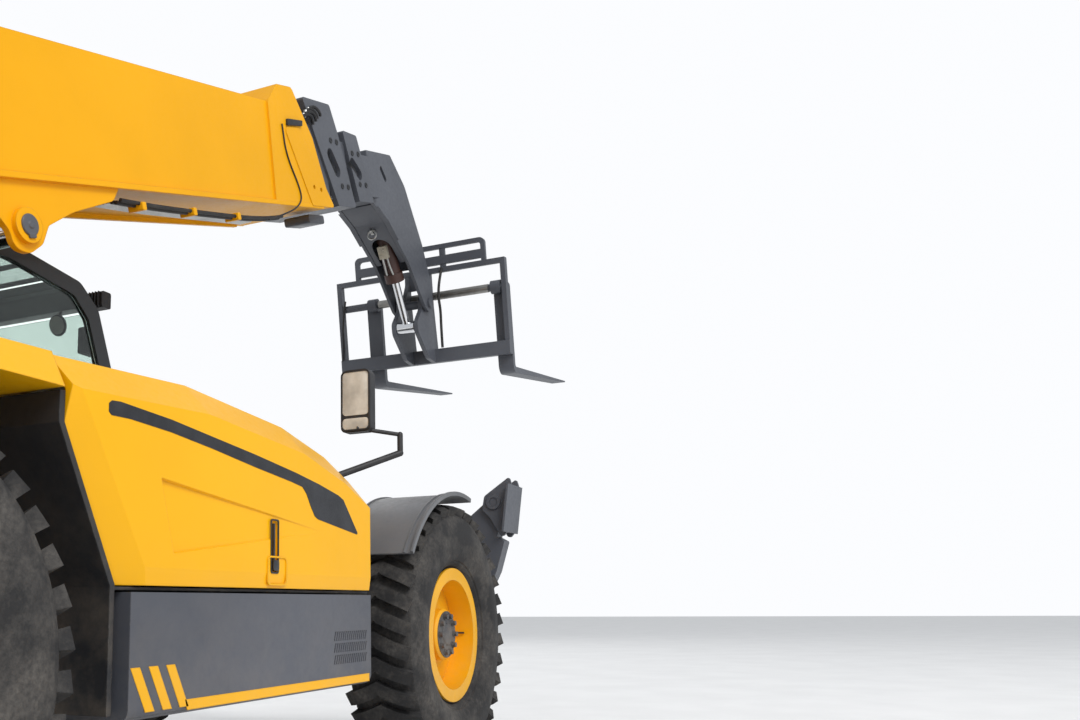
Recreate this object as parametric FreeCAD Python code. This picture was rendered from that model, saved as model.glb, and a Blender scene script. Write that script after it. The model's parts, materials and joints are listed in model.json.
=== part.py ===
import FreeCAD, Part
import os
from math import sin, cos, tan, radians, degrees, atan2, hypot, pi

# Rough-terrain telehandler with a four-section boom, fork carriage and front stabilisers.
# Millimetres. Built with X forward from the front axle, Y to the left and Z up from the
# ground, then moved along X so that the origin is at the middle of the footprint.

V = FreeCAD.Vector

# Overall layout
wheelbase = 3480.0
track = 2165.0
tyre_radius = 680.0
body_side_y = 1200.0
frame_inner_y = 345.0
frame_plate = 30.0
frame_low_z = 480.0
frame_top_z = 1060.0
nose_x = 1045.0
rear_overhang = 1425.0
tail_top_z = 1200.0
pin_gap = 0.5
arch_gap = 60.0
hub_height = tyre_radius
wheel_centre_y = track / 2
rear_x = -wheelbase
tail_x = rear_x - rear_overhang
frame_outer_y = frame_inner_y + frame_plate

# Tyres: ring with chevron tread bars
tyre_width = 375.0
tread_edge = 10.0
tread_depth = 32.0
shoulder_drop = 25.0
sidewall_radius = 470.0
tread_base_radius = 622.0
lug_count = 36
lug_top_share = 0.42
lug_flank_share = 0.08
lug_sweep = 6.0
bead_lip = 2.0

# Rims
rim_radius = 305.0
rim_flange_radius = 344.0
rim_half_width = 140.0
rim_wall = 14.0
rim_edge = 10.0
disc_offset = 10.0
disc_thickness = 20.0
disc_dish = 30.0
hub_radius = 133.0
hub_flare = 40.0
hub_chamfer = 12.0
hub_face_offset = 95.0

# Axles and steering
kingpin_y = 830.0
kingpin_radius = 30.0
kingpin_head = 12.0
jaw_gap_half = 118.0
jaw_thickness = 36.0
jaw_radius = 80.0
jaw_reach = 200.0
jaw_clearance = 6.0
axle_tube_radius = 95.0
diff_radius = 185.0
diff_half_width = 150.0
axle_nose_length = 300.0
axle_nose_radius = 80.0
spindle_radius = 100.0
steer_arm_length = 200.0

# Drive line between the axles
gearbox_rear_x = -1900.0
gearbox_front_x = -1300.0
gearbox_half = 190.0
gearbox_low_z = 525.0
gearbox_top_z = 850.0
shaft_radius_drive = 38.0
shaft_flange_radius = 72.0
shaft_gap = 12.0

# Boom pivot and rest pitch
pivot_setback = 1070.0
pivot_x = rear_x - pivot_setback
pivot_z = 2047.0
boom_pitch = 17.7
pivot_pin_radius = 50.0

# Boom sections: half width, lowest and highest edge, first and last station of each tube
boom_wall = 12.0
sections = {
    "outer": dict(half=320.0, low=-276.0, high=276.0, start=-230.0, end=4720.0),
    "stage_2": dict(half=272.0, low=-228.0, high=228.0, start=330.0, end=5130.0),
    "stage_3": dict(half=228.0, low=-184.0, high=184.0, start=470.0, end=5520.0),
    "head": dict(half=186.0, low=-142.0, high=142.0, start=610.0, end=6090.0),
}
collar_half = dict(outer=332.0, stage_2=290.0, stage_3=250.0)
extend_h = 338.0
extend_rod_radius = 30.0
flange_depth = 26.0
flange_lip = 14.0
lug_plate = 30.0
lug_plate_y = 280.0

# Lift cylinder: lug on the boom (boom frame) and foot on the chassis
lug_s = 2368.0
lug_h = -480.0
lug_boss_radius = 70.0
foot_setback = 670.0
foot_x = rear_x - foot_setback
foot_z = 947.0
lift_barrel_radius = 108.0
lift_rod_radius = 55.0
lift_barrel_length = 1790.0
lift_rod_length = 1780.0
lift_eye_radius = 66.0

# Tilt cylinder and carriage pin, in the boom frame
head_pin = (6870.0, -930.0)
head_pin_radius = 35.0
tilt_eye = (6710.0, -1100.0)
tilt_base = (6421.0, -143.0)
tilt_barrel_radius = 62.0
tilt_rod_radius = 30.0
tilt_barrel_length = 610.0
tilt_rod_length = 560.0
tilt_eye_radius = 48.0
head_half = 150.0
head_plate = 25.0
head_flange = 18.0

# Carriage and forks, in the carriage frame from the head pin
carriage_pitch = 8.0
carriage_half = 757.0
rail_low = -465.0
rail_high = -355.0
top_rail = (270.0, 312.0)
post_width = 40.0
guard_left = 570.0
guard_right = -600.0
guard_top = 500.0
guard_bar = 36.0
guard_corner = 45.0
fork_length = 1560.0
fork_thickness = 50.0
fork_width = 125.0
fork_left_y = 392.0
fork_right_y = -750.0
fork_heel_w = -560.0
fork_tip_w = -585.0
fork_tip_thickness = 12.0
sleeve_width = 80.0
shank_u = 230.0
shaft_radius = 30.0
shaft_u = 188.0
shaft_w = 85.0

# Engine pod: hood sections, inner wall and hinges
sheet = 25.0
pod_front_x = -930.0
pod_rear_gap = 920.0
pod_rear_x = rear_x + pod_rear_gap
hood_overhang = 230.0
hood_rear_x = pod_rear_x - hood_overhang
pod_bottom_z = 898.0
pod_inner_y = 430.0
shoulder_width = 110.0
lower_tuck = 8.0
lower_band = 62.0
bulkhead_sheet = 20.0
recess_depth = 14.0
latch_size = (50.0, 196.0)
latch_place = (-1755.0, 955.0)
latch_depth = 12.0
hood_hinge_y = -450.0
hood_hinge_z = 1626.0
hood_hinge_shares = (0.29, 0.56)

# Hinges: barrel radius, leaf thickness, knuckle length and the free gap between knuckles
hinge_radius = 13.0
hinge_leaf = 6.0
hinge_length = 60.0
hinge_gap = 1.0

# Skirts with vent slots, and the left one with its step
skirt_low_z = 496.0
skirt_top_z = 878.0
skirt_wall = 12.0
vent_rows = 3
vent_slots = 16
vent_rear_x = -1270.0
vent_front_x = -975.0
vent_low_z = 595.0
vent_top_z = 737.0
vent_slot = 9.0
vent_lean = 12.0
step_rear_x = -1880.0
step_front_x = -1380.0
step_low_z = 560.0
step_depth = 200.0
step_plate = 24.0
tank_gap = 24.0

# Cab
cab_inner_y = 400.0
cab_outer_y = 1200.0
cab_wall = 45.0
cab_middle_y = (cab_inner_y + cab_outer_y) / 2
glass = 6.0
glass_gap = 2.0
glass_inset = 20.0
window_rebate = 15.0
guard_bars_x = (-1840.0, -1640.0, -1440.0, -1240.0)
guard_bars_z = 2500.0
guard_bar_radius = 13.0
door_gap = 6.0
door_thickness = 40.0
door_hinge_x = -2080.0
door_hinge_y = 1214.0
door_hinge_heights = (1240.0, 2240.0)
lamp_depth = 70.0

# Front fenders
fender_inner_y = wheel_centre_y - 220.5
fender_outer_y = wheel_centre_y + 185.5
fender_radius = 721.0
fender_sheet = 8.0
fender_lip = 14.0
fender_stay_half = 60.0
fender_stay = 12.0

# Stabilisers: arms swing across the front on pins along X
stab_x0 = 900.0
stab_x1 = 1000.0
stab_pivot_y = 560.0
stab_pivot_z = 640.0
stab_pin_radius = 32.0
stab_foot_y = 1150.0
stab_foot_z = 1455.0
pad_pin_radius = 26.0
pad_cheek = 16.0
pad_side_gap = 12.0
pad_sole = 14.0
pad_sole_side = 60.0

# Rear weight, tow hitch and front tie-down eyes
weight_low_z = 560.0
weight_top_z = 1180.0
weight_half = 1080.0
weight_depth = 175.0
tow_reach = 50.0
tow_x = tail_x - weight_depth - tow_reach
tow_mid_z = 700.0
tow_height = 150.0
tow_bore_radius = 21.0
tow_ear = 30.0
tow_ear_half = 60.0
tie_x = 820.0
tie_z = 880.0
tie_radius = 30.0

# Hood sections: share of the way from the rear edge to the front, top of the side face, top edge
pod_sections = [
    (0.0, 1448.0, 1558.0),
    (0.35, 1480.0, 1592.0),
    (0.69, 1430.0, 1546.0),
    (0.88, 1345.0, 1470.0),
    (1.0, 1262.0, 1388.0),
]

# Outlines of the boom collars in the boom frame: along, up, corner radius
collar_outlines = {
    "outer": [(4330, -276), (5004, -292, 15), (4880, 120, 60), (4700, 392, 40), (4520, 384, 30), (4400, 276, 40)],
    "stage_2": [(4903, 378, 12), (5260, 378, 25), (5330, 200, 60), (5454, -262, 15), (5200, -262)],
    "stage_3": [(5490, 253, 12), (5694, 240, 20), (5842, -205, 15), (5610, -205)],
}
collar_ovals = {
    "stage_2": ((5180, 56), (5246, -37), 42),
    "stage_3": ((5580, 46), (5664, -21), 38),
}

# Cab side outline, its windows and door: along, up, corner radius
cab_profile = [(-2330, 960, 60), (-2370, 1500, 200), (-2330, 2480, 60), (-2250, 2560, 60), (-1560, 2570, 300),
               (-1080, 2510, 90), (-940, 2400, 90), (-810, 2060, 300), (-720, 1560, 120), (-860, 1100, 90),
               (-960, 960, 60)]
right_window = [(-2285, 1400, 50), (-2250, 2440, 70), (-1560, 2490, 300), (-1120, 2430, 70), (-1010, 2330, 60),
                (-890, 2020, 200), (-810, 1560, 90), (-850, 1400, 50)]
rear_left_window = [(-2285, 1400, 30), (-2250, 2430, 30), (-2130, 2440, 30), (-2130, 1400, 30)]
door_points = [(-2080, 1020, 40), (-2080, 2440, 50), (-1560, 2490, 300), (-1120, 2430, 70), (-1010, 2330, 60),
               (-890, 2020, 200), (-800, 1560, 90), (-930, 1110, 90), (-1000, 1020, 40)]
door_window = [(-2020, 1300, 50), (-2020, 2380, 50), (-1560, 2430, 300), (-1150, 2370, 60), (-1060, 2300, 50),
               (-950, 2020, 200), (-870, 1560, 80), (-900, 1300, 50)]

# Raised face of the outer collar with its two holes, in the boom frame
collar_face = [(4539, 149, 30), (4717, 164, 60), (5040, -290, 15), (4753, -290, 15)]
collar_face_depth = 5.0
collar_face_holes = ((4803, -178), (4889, -189))
collar_hole_radius = 13.0

# Head side plate in the boom frame, and the parts of its edge that carry the cover and the lip
head_outline = [(6047, -170), (6047, 200), (6475, 202, 30), (6681, -16, 140), (6888, -462, 200), (6985, -806, 60),
                (6960, -930, 60), (6870, -1015, 60), (6790, -960, 40), (6560, -600, 200), (6250, -300, 80)]
head_cover_part = [(6047, 100), (6400, 100), (6800, -640), (7100, -640), (7100, 300), (6047, 300)]
head_lip_part = [(6200, -200), (6490, -560), (6740, -940), (6700, -1100), (6000, -1100), (6000, -200)]
head_oval = ((6274, 85), (6327, 13), 20)
head_cover = 22.0
head_lip = 15.0

# Bent plate between the head pin and the carriage rails, in the carriage frame
carriage_lug = [(-20, 75, 50), (60, 60, 80), (150, 200, 60), (158, 290), (190, 290), (190, 0, 200), (225, -355),
                (145, -465), (20, -440, 60), (-175, -245, 60), (-180, -160, 60), (-70, -50, 60), (-70, 30, 40)]

# Stabiliser pad: cheek outline and sole line as offsets outward and up from its pin
pad_cheek_outline = [(104, 151, 12), (118, 103), (80, -187), (50, -224, 20), (-30, -90, 60), (-76, -46, 30),
                     (-60, 39, 30)]
pad_sole_line = [(118, 103), (80, -187)]
pad_boss = 10.0
pad_boss_radius = 46.0

# Dents in the hood's side: three corners each, along from the hood's rear edge and up
hood_recesses = (
    ((390, 1235), (460, 1000), (1440, 1130)),
)

lamp_place = (-870.0, 470.0, 2470.0)


def outline(points, place):
    """Flat face through corners (a, b), or (a, b, radius) where the corner is rounded."""
    corners = []
    for i, corner in enumerate(points):
        here = V(corner[0], corner[1], 0)
        if len(corner) < 3:
            corners.append((here, here, here))
            continue
        before = (V(*points[i - 1][:2]) - here).normalize()
        after = (V(*points[(i + 1) % len(points)][:2]) - here).normalize()
        half = before.getAngle(after) / 2
        middle = (before + after).normalize()
        reach = corner[2] / tan(half)
        crown = middle * (corner[2] / sin(half) - corner[2])
        corners.append((here + before * reach, here + crown, here + after * reach))
    edges = []
    for i, (start, crown, end) in enumerate(corners):
        edges.append(Part.LineSegment(place(corners[i - 1][2]), place(start)).toShape())
        if (end - start).Length > 0:
            edges.append(Part.Arc(place(start), place(crown), place(end)).toShape())
    return Part.Face(Part.Wire(edges))


def side_plate(points, y0, y1):
    """Side-view outline (X, Z) made solid between two Y values."""
    face = outline(points, lambda p: V(p[0], y0, p[1]))
    return face.extrude(V(0, y1 - y0, 0))


def inset_plate(points, inset, y0, y1):
    """Side-view outline drawn in all round, made solid between two Y values."""
    face = outline(points, lambda p: V(p[0], y0, p[1])).makeOffset2D(-inset, 2)
    return face.extrude(V(0, y1 - y0, 0))


def front_plate(points, x0, x1):
    """Front-view outline (Y, Z) made solid between two X values."""
    face = outline(points, lambda p: V(x0, p[0], p[1]))
    return face.extrude(V(x1 - x0, 0, 0))


def plan_plate(points, z0, z1):
    """Plan outline (X, Y) made solid between two Z values."""
    face = outline(points, lambda p: V(p[0], p[1], z0))
    return face.extrude(V(0, 0, z1 - z0))


def block(x0, x1, y0, y1, z0, z1):
    return Part.makeBox(x1 - x0, abs(y1 - y0), z1 - z0, V(x0, min(y0, y1), z0))


def bar(start, end, radius):
    start, end = V(*start), V(*end)
    return Part.makeCylinder(radius, (end - start).Length, start, end - start)


def pipe(start, end, outer, inner):
    return bar(start, end, outer).cut(bar(start, end, inner))


def cross_pin(point, half_length, radius):
    """Round bar along Y about a point of the side view."""
    return bar((point[0], -half_length, point[1]), (point[0], half_length, point[1]), radius)


def cross_slot(start, end, half_length, radius):
    """Round-ended slot along Y between two points of the side view."""
    along = V(end[0] - start[0], end[1] - start[1], 0).normalize() * radius
    corners = [(p[0] - s * along.y, p[1] + s * along.x) for p, s in ((start, 1), (end, 1), (end, -1), (start, -1))]
    return joined(side_plate(corners, -half_length, half_length), cross_pin(start, half_length, radius),
                  cross_pin(end, half_length, radius))


def joined(*shapes):
    whole = shapes[0].fuse(list(shapes[1:])) if len(shapes) > 1 else shapes[0]
    return whole.removeSplitter()


def both_sides(shape):
    return [shape, mirrored(shape)]


def mirrored(shape):
    return shape.mirror(V(0, 0, 0), V(0, 1, 0))


def turned(shape, angle, point):
    """Pitch up by an angle about a point of the side view."""
    out = shape.copy()
    out.rotate(V(point[0], 0, point[1]), V(0, -1, 0), angle)
    return out


def rotate_point(point, angle):
    c, s = cos(radians(angle)), sin(radians(angle))
    return (point[0] * c - point[1] * s, point[0] * s + point[1] * c)


def on_boom(shape):
    """Boom frame to the machine: pitched at the boom pivot."""
    out = turned(shape, boom_pitch, (0, 0))
    out.translate(V(pivot_x, 0, pivot_z))
    return out


def boom_point(s, h):
    x, z = rotate_point((s, h), boom_pitch)
    return (pivot_x + x, pivot_z + z)


pin_x, pin_z = boom_point(*head_pin)


def on_carriage(shape):
    """Carriage frame to the machine: pitched at the head pin."""
    out = turned(shape, carriage_pitch, (0, 0))
    out.translate(V(pin_x, 0, pin_z))
    return out


def wheel_solid(profile, x, side):
    """Turn a section (radius, outward offset) about the wheel's axis."""
    y = side * wheel_centre_y
    corners = [V(x, y + side * p[1], hub_height + p[0]) for p in profile]
    face = Part.Face(Part.makePolygon(corners + [corners[0]]))
    return face.revolve(V(x, y, hub_height), V(0, 1, 0), 360)


def arch_space(x):
    """Room left round both wheels of an axle."""
    return cross_pin((x, hub_height), wheel_centre_y + tyre_width, tyre_radius + arch_gap)


def tread_ring(x, y, crest, groove, sweep):
    """Corners of the tread seen along the axle: one bar and one groove to each pitch."""
    steps = ((0.0, crest), (lug_top_share, crest), (lug_top_share + lug_flank_share, groove),
             (1.0 - lug_flank_share, groove))
    ring = []
    for i in range(lug_count):
        for share, radius in steps:
            angle = 2 * pi * (i + share) / lug_count + radians(sweep)
            ring.append(V(x + radius * sin(angle), y, hub_height + radius * cos(angle)))
    return ring


def plain_ring(x, y, radius):
    angles = [2 * pi * i / lug_count for i in range(lug_count)]
    return [V(x + radius * sin(a), y, hub_height + radius * cos(a)) for a in angles]


def flat_face(*corners):
    return Part.Face(Part.makePolygon(list(corners) + [corners[0]]))


def tyre(x, side):
    """Carcass with flat-sided rings, and swept tread bars meeting in a chevron."""
    y = side * wheel_centre_y
    edge = tyre_width / 2 - tread_edge
    crest, groove = tyre_radius - shoulder_drop, tread_base_radius
    rings = [tread_ring(x, y - edge, crest, groove, -lug_sweep),
             tread_ring(x, y, tyre_radius, tyre_radius - tread_depth, 0.0),
             tread_ring(x, y + edge, crest, groove, -lug_sweep)]
    faces = []
    for first, second in zip(rings, rings[1:]):
        for i in range(len(first)):
            faces.append(flat_face(first[i - 1], first[i], second[i - 1]))
            faces.append(flat_face(first[i], second[i], second[i - 1]))
    seat = rim_half_width - rim_wall - pin_gap
    bore = (rim_radius + pin_gap) / cos(pi / lug_count)
    stations = [(edge, tread_base_radius - tread_edge), (tyre_width / 2, sidewall_radius),
                (seat, rim_flange_radius + bead_lip), (seat, bore)]
    stations += [(-offset, radius) for offset, radius in reversed(stations)]
    walls = [plain_ring(x, y + offset, radius) for offset, radius in stations]
    for first, second in zip(walls, walls[1:]):
        for i in range(lug_count):
            faces.append(flat_face(first[i - 1], first[i], second[i], second[i - 1]))
    for tread, wall in ((rings[2], walls[0]), (rings[0], walls[-1])):
        outer, hole = [Part.makePolygon(ring + [ring[0]]) for ring in (tread, wall)]
        faces.append(Part.makeFace([outer, hole], "Part::FaceMakerBullseye"))
    shell = Part.makeShell(faces)
    shell.sewShape()
    solid = Part.Solid(shell)
    if solid.Volume < 0:
        solid.reverse()
    return solid


def rim(x, side):
    wall = rim_radius - rim_wall
    dish_radius = hub_radius + hub_flare
    profile = [
        (0, disc_offset), (dish_radius, disc_offset), (wall, disc_offset - disc_dish),
        (wall, -rim_half_width), (rim_flange_radius, -rim_half_width),
        (rim_flange_radius, -rim_half_width + rim_wall), (rim_radius, -rim_half_width + rim_wall),
        (rim_radius, rim_half_width - rim_wall), (rim_flange_radius, rim_half_width - rim_wall),
        (rim_flange_radius, rim_half_width), (wall - rim_edge, rim_half_width),
        (wall - rim_edge, disc_offset), (dish_radius, disc_offset + disc_thickness),
        (hub_radius, disc_offset + disc_thickness), (hub_radius, hub_face_offset - hub_chamfer),
        (hub_radius - hub_chamfer, hub_face_offset), (0, hub_face_offset),
    ]
    return wheel_solid(profile, x, side)


def knuckle(x, side):
    y = side * kingpin_y
    z = hub_height
    reach = jaw_gap_half - jaw_clearance
    pin_reach = jaw_gap_half + jaw_thickness + kingpin_head
    swivel = bar((x, y, z - reach), (x, y, z + reach), jaw_radius - 14)
    kingpin = bar((x, y, z - pin_reach), (x, y, z + pin_reach), kingpin_radius)
    spindle = bar((x, y, z), (x, side * (wheel_centre_y + disc_offset - 40), z), spindle_radius)
    arm = block(x - steer_arm_length, x, y, y + side * 45, z - 80, z - 50)
    return joined(swivel, kingpin, spindle, arm)


def axle(x):
    """Beam turned about its own axis, swelling at the middle, with a jaw at each end."""
    inner_end = kingpin_y - 130
    sections_y = [(-inner_end, axle_tube_radius), (-420, axle_tube_radius), (-300, 120), (-diff_half_width, diff_radius),
                  (diff_half_width, diff_radius), (300, 120), (420, axle_tube_radius), (inner_end, axle_tube_radius)]
    corners = [V(x, -inner_end, hub_height)] + [V(x, y, hub_height + r) for y, r in sections_y]
    corners.append(V(x, inner_end, hub_height))
    beam = flat_face(*corners).revolve(V(x, 0, hub_height), V(0, 1, 0), 360)
    inward = axle_nose_length if x < 0 else -axle_nose_length
    parts = [bar((x, 0, hub_height), (x + inward, 0, hub_height), axle_nose_radius)]
    for side in (-1, 1):
        y = side * kingpin_y
        for up in (-1, 1):
            inner = hub_height + up * jaw_gap_half
            outer = hub_height + up * (jaw_gap_half + jaw_thickness)
            low, high = min(inner, outer), max(inner, outer)
            jaw = bar((x, y, low), (x, y, high), jaw_radius)
            root = block(x - jaw_radius, x + jaw_radius, y, y - side * jaw_reach, low, high)
            hole = bar((x, y, low - 1), (x, y, high + 1), kingpin_radius + pin_gap)
            parts.append(joined(jaw, root).cut(hole))
        web = jaw_gap_half + jaw_thickness
        parts.append(block(x - jaw_radius, x + jaw_radius, side * (kingpin_y - jaw_reach), side * (kingpin_y - 110),
                           hub_height - web, hub_height + web))
    return joined(beam, *parts)


def drive_line():
    """Gearbox under the frame with a shaft to each axle's nose."""
    top, low = gearbox_top_z, gearbox_low_z
    case = side_plate([(gearbox_rear_x, low, 30), (gearbox_rear_x, top - 60, 40), (gearbox_rear_x + 120, top, 40),
                       (gearbox_front_x - 160, top, 40), (gearbox_front_x, top - 110, 40), (gearbox_front_x, low, 30)],
                      -gearbox_half, gearbox_half)
    pieces = [case]
    front = (-axle_nose_length - shaft_gap, gearbox_front_x)
    rear = (rear_x + axle_nose_length + shaft_gap, gearbox_rear_x)
    for end_x, case_x in (front, rear):
        inward = 1 if end_x < case_x else -1
        flange_x = end_x + inward * 30
        pieces.append(bar((end_x, 0, hub_height), (flange_x, 0, hub_height), shaft_flange_radius))
        pieces.append(bar((flange_x - inward, 0, hub_height), (case_x + inward * 5, 0, hub_height), shaft_radius_drive))
    return joined(*pieces)


def frame_side_plate(side):
    """Long side plate of the frame with the boom upright and the stabiliser's ears."""
    low, top = frame_low_z, frame_top_z
    notch_z = hub_height + diff_radius + 20
    plate = side_plate([
        (nose_x, low + 60, 30), (nose_x - 60, low), (330, low), (270, notch_z, 60), (-270, notch_z, 60), (-330, low),
        (rear_x + 330, low), (rear_x + 270, notch_z, 60), (rear_x - 270, notch_z, 60),
        (rear_x - 330, low + 30), (tail_x, low + 60, 30), (tail_x, tail_top_z, 40), (pivot_x - 190, pivot_z + 60, 80),
        (pivot_x - 110, pivot_z + 170, 80), (pivot_x + 110, pivot_z + 170, 80), (pivot_x + 210, pivot_z, 200),
        (rear_x - 540, 1300, 200), (rear_x - 220, top + 60, 100), (rear_x + 880, top), (620, top), (nose_x, 960, 40),
    ], frame_inner_y, frame_outer_y)
    plate = plate.cut(cross_pin((pivot_x, pivot_z), 500, pivot_pin_radius + pin_gap))
    plate = plate.cut(cross_pin((tie_x, tie_z), 500, tie_radius))
    ears = []
    y, z = stab_pivot_y, stab_pivot_z
    for x in (stab_x0 - 42, stab_x1 + 12):
        ear = front_plate([(frame_inner_y + 1, z - 110), (y, z - 70, 60), (y + 70, z, 60), (y, z + 70, 60),
                           (frame_inner_y + 1, z + 150)], x, x + 30)
        hole = bar((x - 5, y, z), (x + 35, y, z), stab_pin_radius + pin_gap)
        ears.append(ear.cut(hole))
    body = joined(plate, *ears)
    return body if side > 0 else mirrored(body)


def chassis_frame():
    """Cross members between the side plates, with the foot of the lift cylinder."""
    notch_z = hub_height + diff_radius + 20
    low = frame_low_z
    foot_floor_z = foot_z - 190
    inner = frame_inner_y
    ties = [
        block(760, 1000, -inner, inner, 560, 840),
        block(-260, 260, -inner, inner, notch_z, notch_z + 70),
        block(-1500, -700, -inner, inner, low, low + 25),
        block(rear_x + 980, gearbox_rear_x + 200, -inner, inner, low, low + 25),
        block(rear_x - 240, rear_x + 240, -inner, inner, notch_z, notch_z + 20),
    ]
    rear = [
        block(foot_x - 370, rear_x - 335, -inner, inner, foot_floor_z, foot_floor_z + 25),
        block(tail_x + 35, foot_x - 350, -inner, inner, 560, 1000),
    ]
    for y in (-200, 170):
        rear.append(side_plate([(foot_x - 160, foot_floor_z), (foot_x - 110, foot_z + 60, 60), (foot_x, foot_z + 120, 80),
                                (foot_x + 110, foot_z + 60, 60), (foot_x + 190, foot_floor_z)], y, y + 30))
    rear.append(cross_pin((foot_x, foot_z), 210, 45))
    return Part.makeCompound(ties + [joined(*rear)])


def stabiliser_arm(side):
    """Bent arm, wide below and necked at the foot so that the pad can rock."""
    y, z = stab_foot_y, stab_foot_z
    body = front_plate([
        (stab_pivot_y - 60, stab_pivot_z - 40, 40), (stab_pivot_y + 40, stab_pivot_z - 75, 40),
        (y - 150, z - 715, 150), (y - 1, z - 424, 80), (y + 55, z - 238, 12), (y + 8, z - 212), (y + 20, z - 150),
        (y + 50, z - 60), (y + 52, z + 30, 35), (y - 30, z + 55, 35), (y - 81, z - 13, 30), (y - 175, z - 87, 60),
        (stab_pivot_y - 50, stab_pivot_z + 50, 40)], stab_x0, stab_x1)
    pin = bar((stab_x0 - 50, stab_pivot_y, stab_pivot_z), (stab_x1 + 50, stab_pivot_y, stab_pivot_z), stab_pin_radius)
    tip = bar((stab_x0 - 34, y, z), (stab_x1 + 34, y, z), pad_pin_radius)
    arm = joined(body, pin, tip)
    return arm if side > 0 else mirrored(arm)


def stabiliser_pad(side):
    """Two cheeks with ring bosses either side of the arm, closed by the sole."""
    y, z = stab_foot_y, stab_foot_z
    sole_points = [(y + up_y, z + up_z) for up_y, up_z in pad_sole_line]
    across = V(sole_points[0][0] - sole_points[1][0], sole_points[0][1] - sole_points[1][1], 0).normalize()
    inner_points = [(p[0] - across.y * pad_sole, p[1] + across.x * pad_sole) for p in reversed(sole_points)]
    x0, x1 = stab_x0 - pad_side_gap - pad_cheek, stab_x1 + pad_side_gap
    parts = [front_plate(sole_points + inner_points, x0 - pad_sole_side, x1 + pad_cheek + pad_sole_side)]
    for x, boss_x in ((x0, x0 - pad_boss), (x1, x1 + pad_cheek)):
        cheek = front_plate([(y + c[0], z + c[1]) + tuple(c[2:]) for c in pad_cheek_outline], x, x + pad_cheek)
        boss = bar((boss_x, y, z), (boss_x + pad_boss, y, z), pad_boss_radius)
        hole = bar((x0 - 50, y, z), (x1 + 70, y, z), pad_pin_radius + pin_gap)
        parts.append(joined(cheek, boss).cut(hole))
    pad = joined(*parts)
    return pad if side > 0 else mirrored(pad)


def box_tube(half, low, high, start, end, wall):
    outer = block(start, end, -half, half, low, high)
    inner = block(start - 1, end + 1, -half + wall, half - wall, low + wall, high - wall)
    return outer.cut(inner)


def collar(name):
    """Raked ring round a tube: a side outline with the next section's way through it."""
    size = sections[name]
    ring = side_plate(collar_outlines[name], -collar_half[name], collar_half[name])
    clear = size["half"] - boom_wall
    way = block(size["start"], size["end"] + head_pin[0], -clear, clear, size["low"] + boom_wall, size["high"] - boom_wall)
    return ring.cut(way)


def boom_outer():
    size = sections["outer"]
    low, half = size["low"], size["half"]
    clear = half - boom_wall
    tube = box_tube(wall=boom_wall, **size)
    flange = block(-100, size["end"] + 180, -half - flange_lip, half + flange_lip, low - flange_depth, low)
    flange = flange.cut(block(-200, size["end"] + 280, -clear, clear, low - 40, low + 1))
    lug = side_plate([(2050, low), (2190, -380, 150), (lug_s - 86, lug_h - 20, 60), (lug_s - 78, lug_h - 85, 60),
                      (lug_s, lug_h - 108, 60), (lug_s + 80, lug_h - 70, 60), (2500, -475, 30), (2660, -415, 400),
                      (2930, -355, 60), (3000, low)], lug_plate_y, lug_plate_y + lug_plate)
    boss = bar((lug_s, lug_plate_y - 4, lug_h), (lug_s, lug_plate_y + lug_plate + 24, lug_h), lug_boss_radius)
    tail = side_plate([(-230, low), (-230, size["high"]), (0, size["high"]), (120, low)], -half, half)
    tail = tail.cut(block(-260, 200, -280, 280, -240, 240))
    pin = cross_pin((0, 0), frame_outer_y + 25, pivot_pin_radius)
    pivot_tube = cross_pin((0, 0), half, pivot_pin_radius + 35)
    face = side_plate(collar_face, collar_half["outer"], collar_half["outer"] + collar_face_depth)
    body = joined(tube, collar("outer"), flange, tail, pin, pivot_tube, *both_sides(lug), *both_sides(boss),
                  *both_sides(face))
    holes = [cross_pin(point, half + 50, collar_hole_radius) for point in collar_face_holes]
    holes.append(bar((4300, 0, extend_h), (5100, 0, extend_h), extend_rod_radius + 6))
    return on_boom(body.cut(holes))


def boom_stage(name):
    tube = box_tube(wall=boom_wall, **sections[name])
    start, end, radius = collar_ovals[name]
    oval = cross_slot(start, end, collar_half[name] + 10, radius)
    return on_boom(joined(tube, collar(name)).cut(oval))


def boom_head():
    """Gooseneck: two side plates, a cover along the front edge and lips along the lower edge."""
    tube = box_tube(wall=boom_wall, **sections["head"])
    inner_y = head_half - head_plate
    side = side_plate(head_outline, inner_y, head_half).cut(cross_pin(head_pin, 400, head_pin_radius + 1))
    start, end, radius = head_oval
    side = side.cut(cross_slot(start, end, head_half + 10, radius))
    whole = side_plate(head_outline, -head_half + 1, head_half - 1)
    cover = whole.cut(inset_plate(head_outline, head_cover, -head_half, head_half))
    cover = cover.common(side_plate(head_cover_part, -head_half, head_half))
    lip = side_plate(head_outline, inner_y, head_half + head_lip)
    lip = lip.cut(inset_plate(head_outline, head_flange, inner_y - 1, head_half + head_lip + 1))
    lip = lip.common(side_plate(head_lip_part, inner_y, head_half + head_lip))
    root_s, root_h = head_outline[0][:2]
    cap = block(root_s, root_s + 183, -head_half + 1, head_half - 1, root_h, root_h + 25)
    return on_boom(joined(tube, cover, cap, *both_sides(side), *both_sides(lip)))


def cylinder_axis(base, eye):
    angle = degrees(atan2(eye[1] - base[1], eye[0] - base[0]))
    length = hypot(eye[0] - base[0], eye[1] - base[1])
    return angle, length


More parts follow.
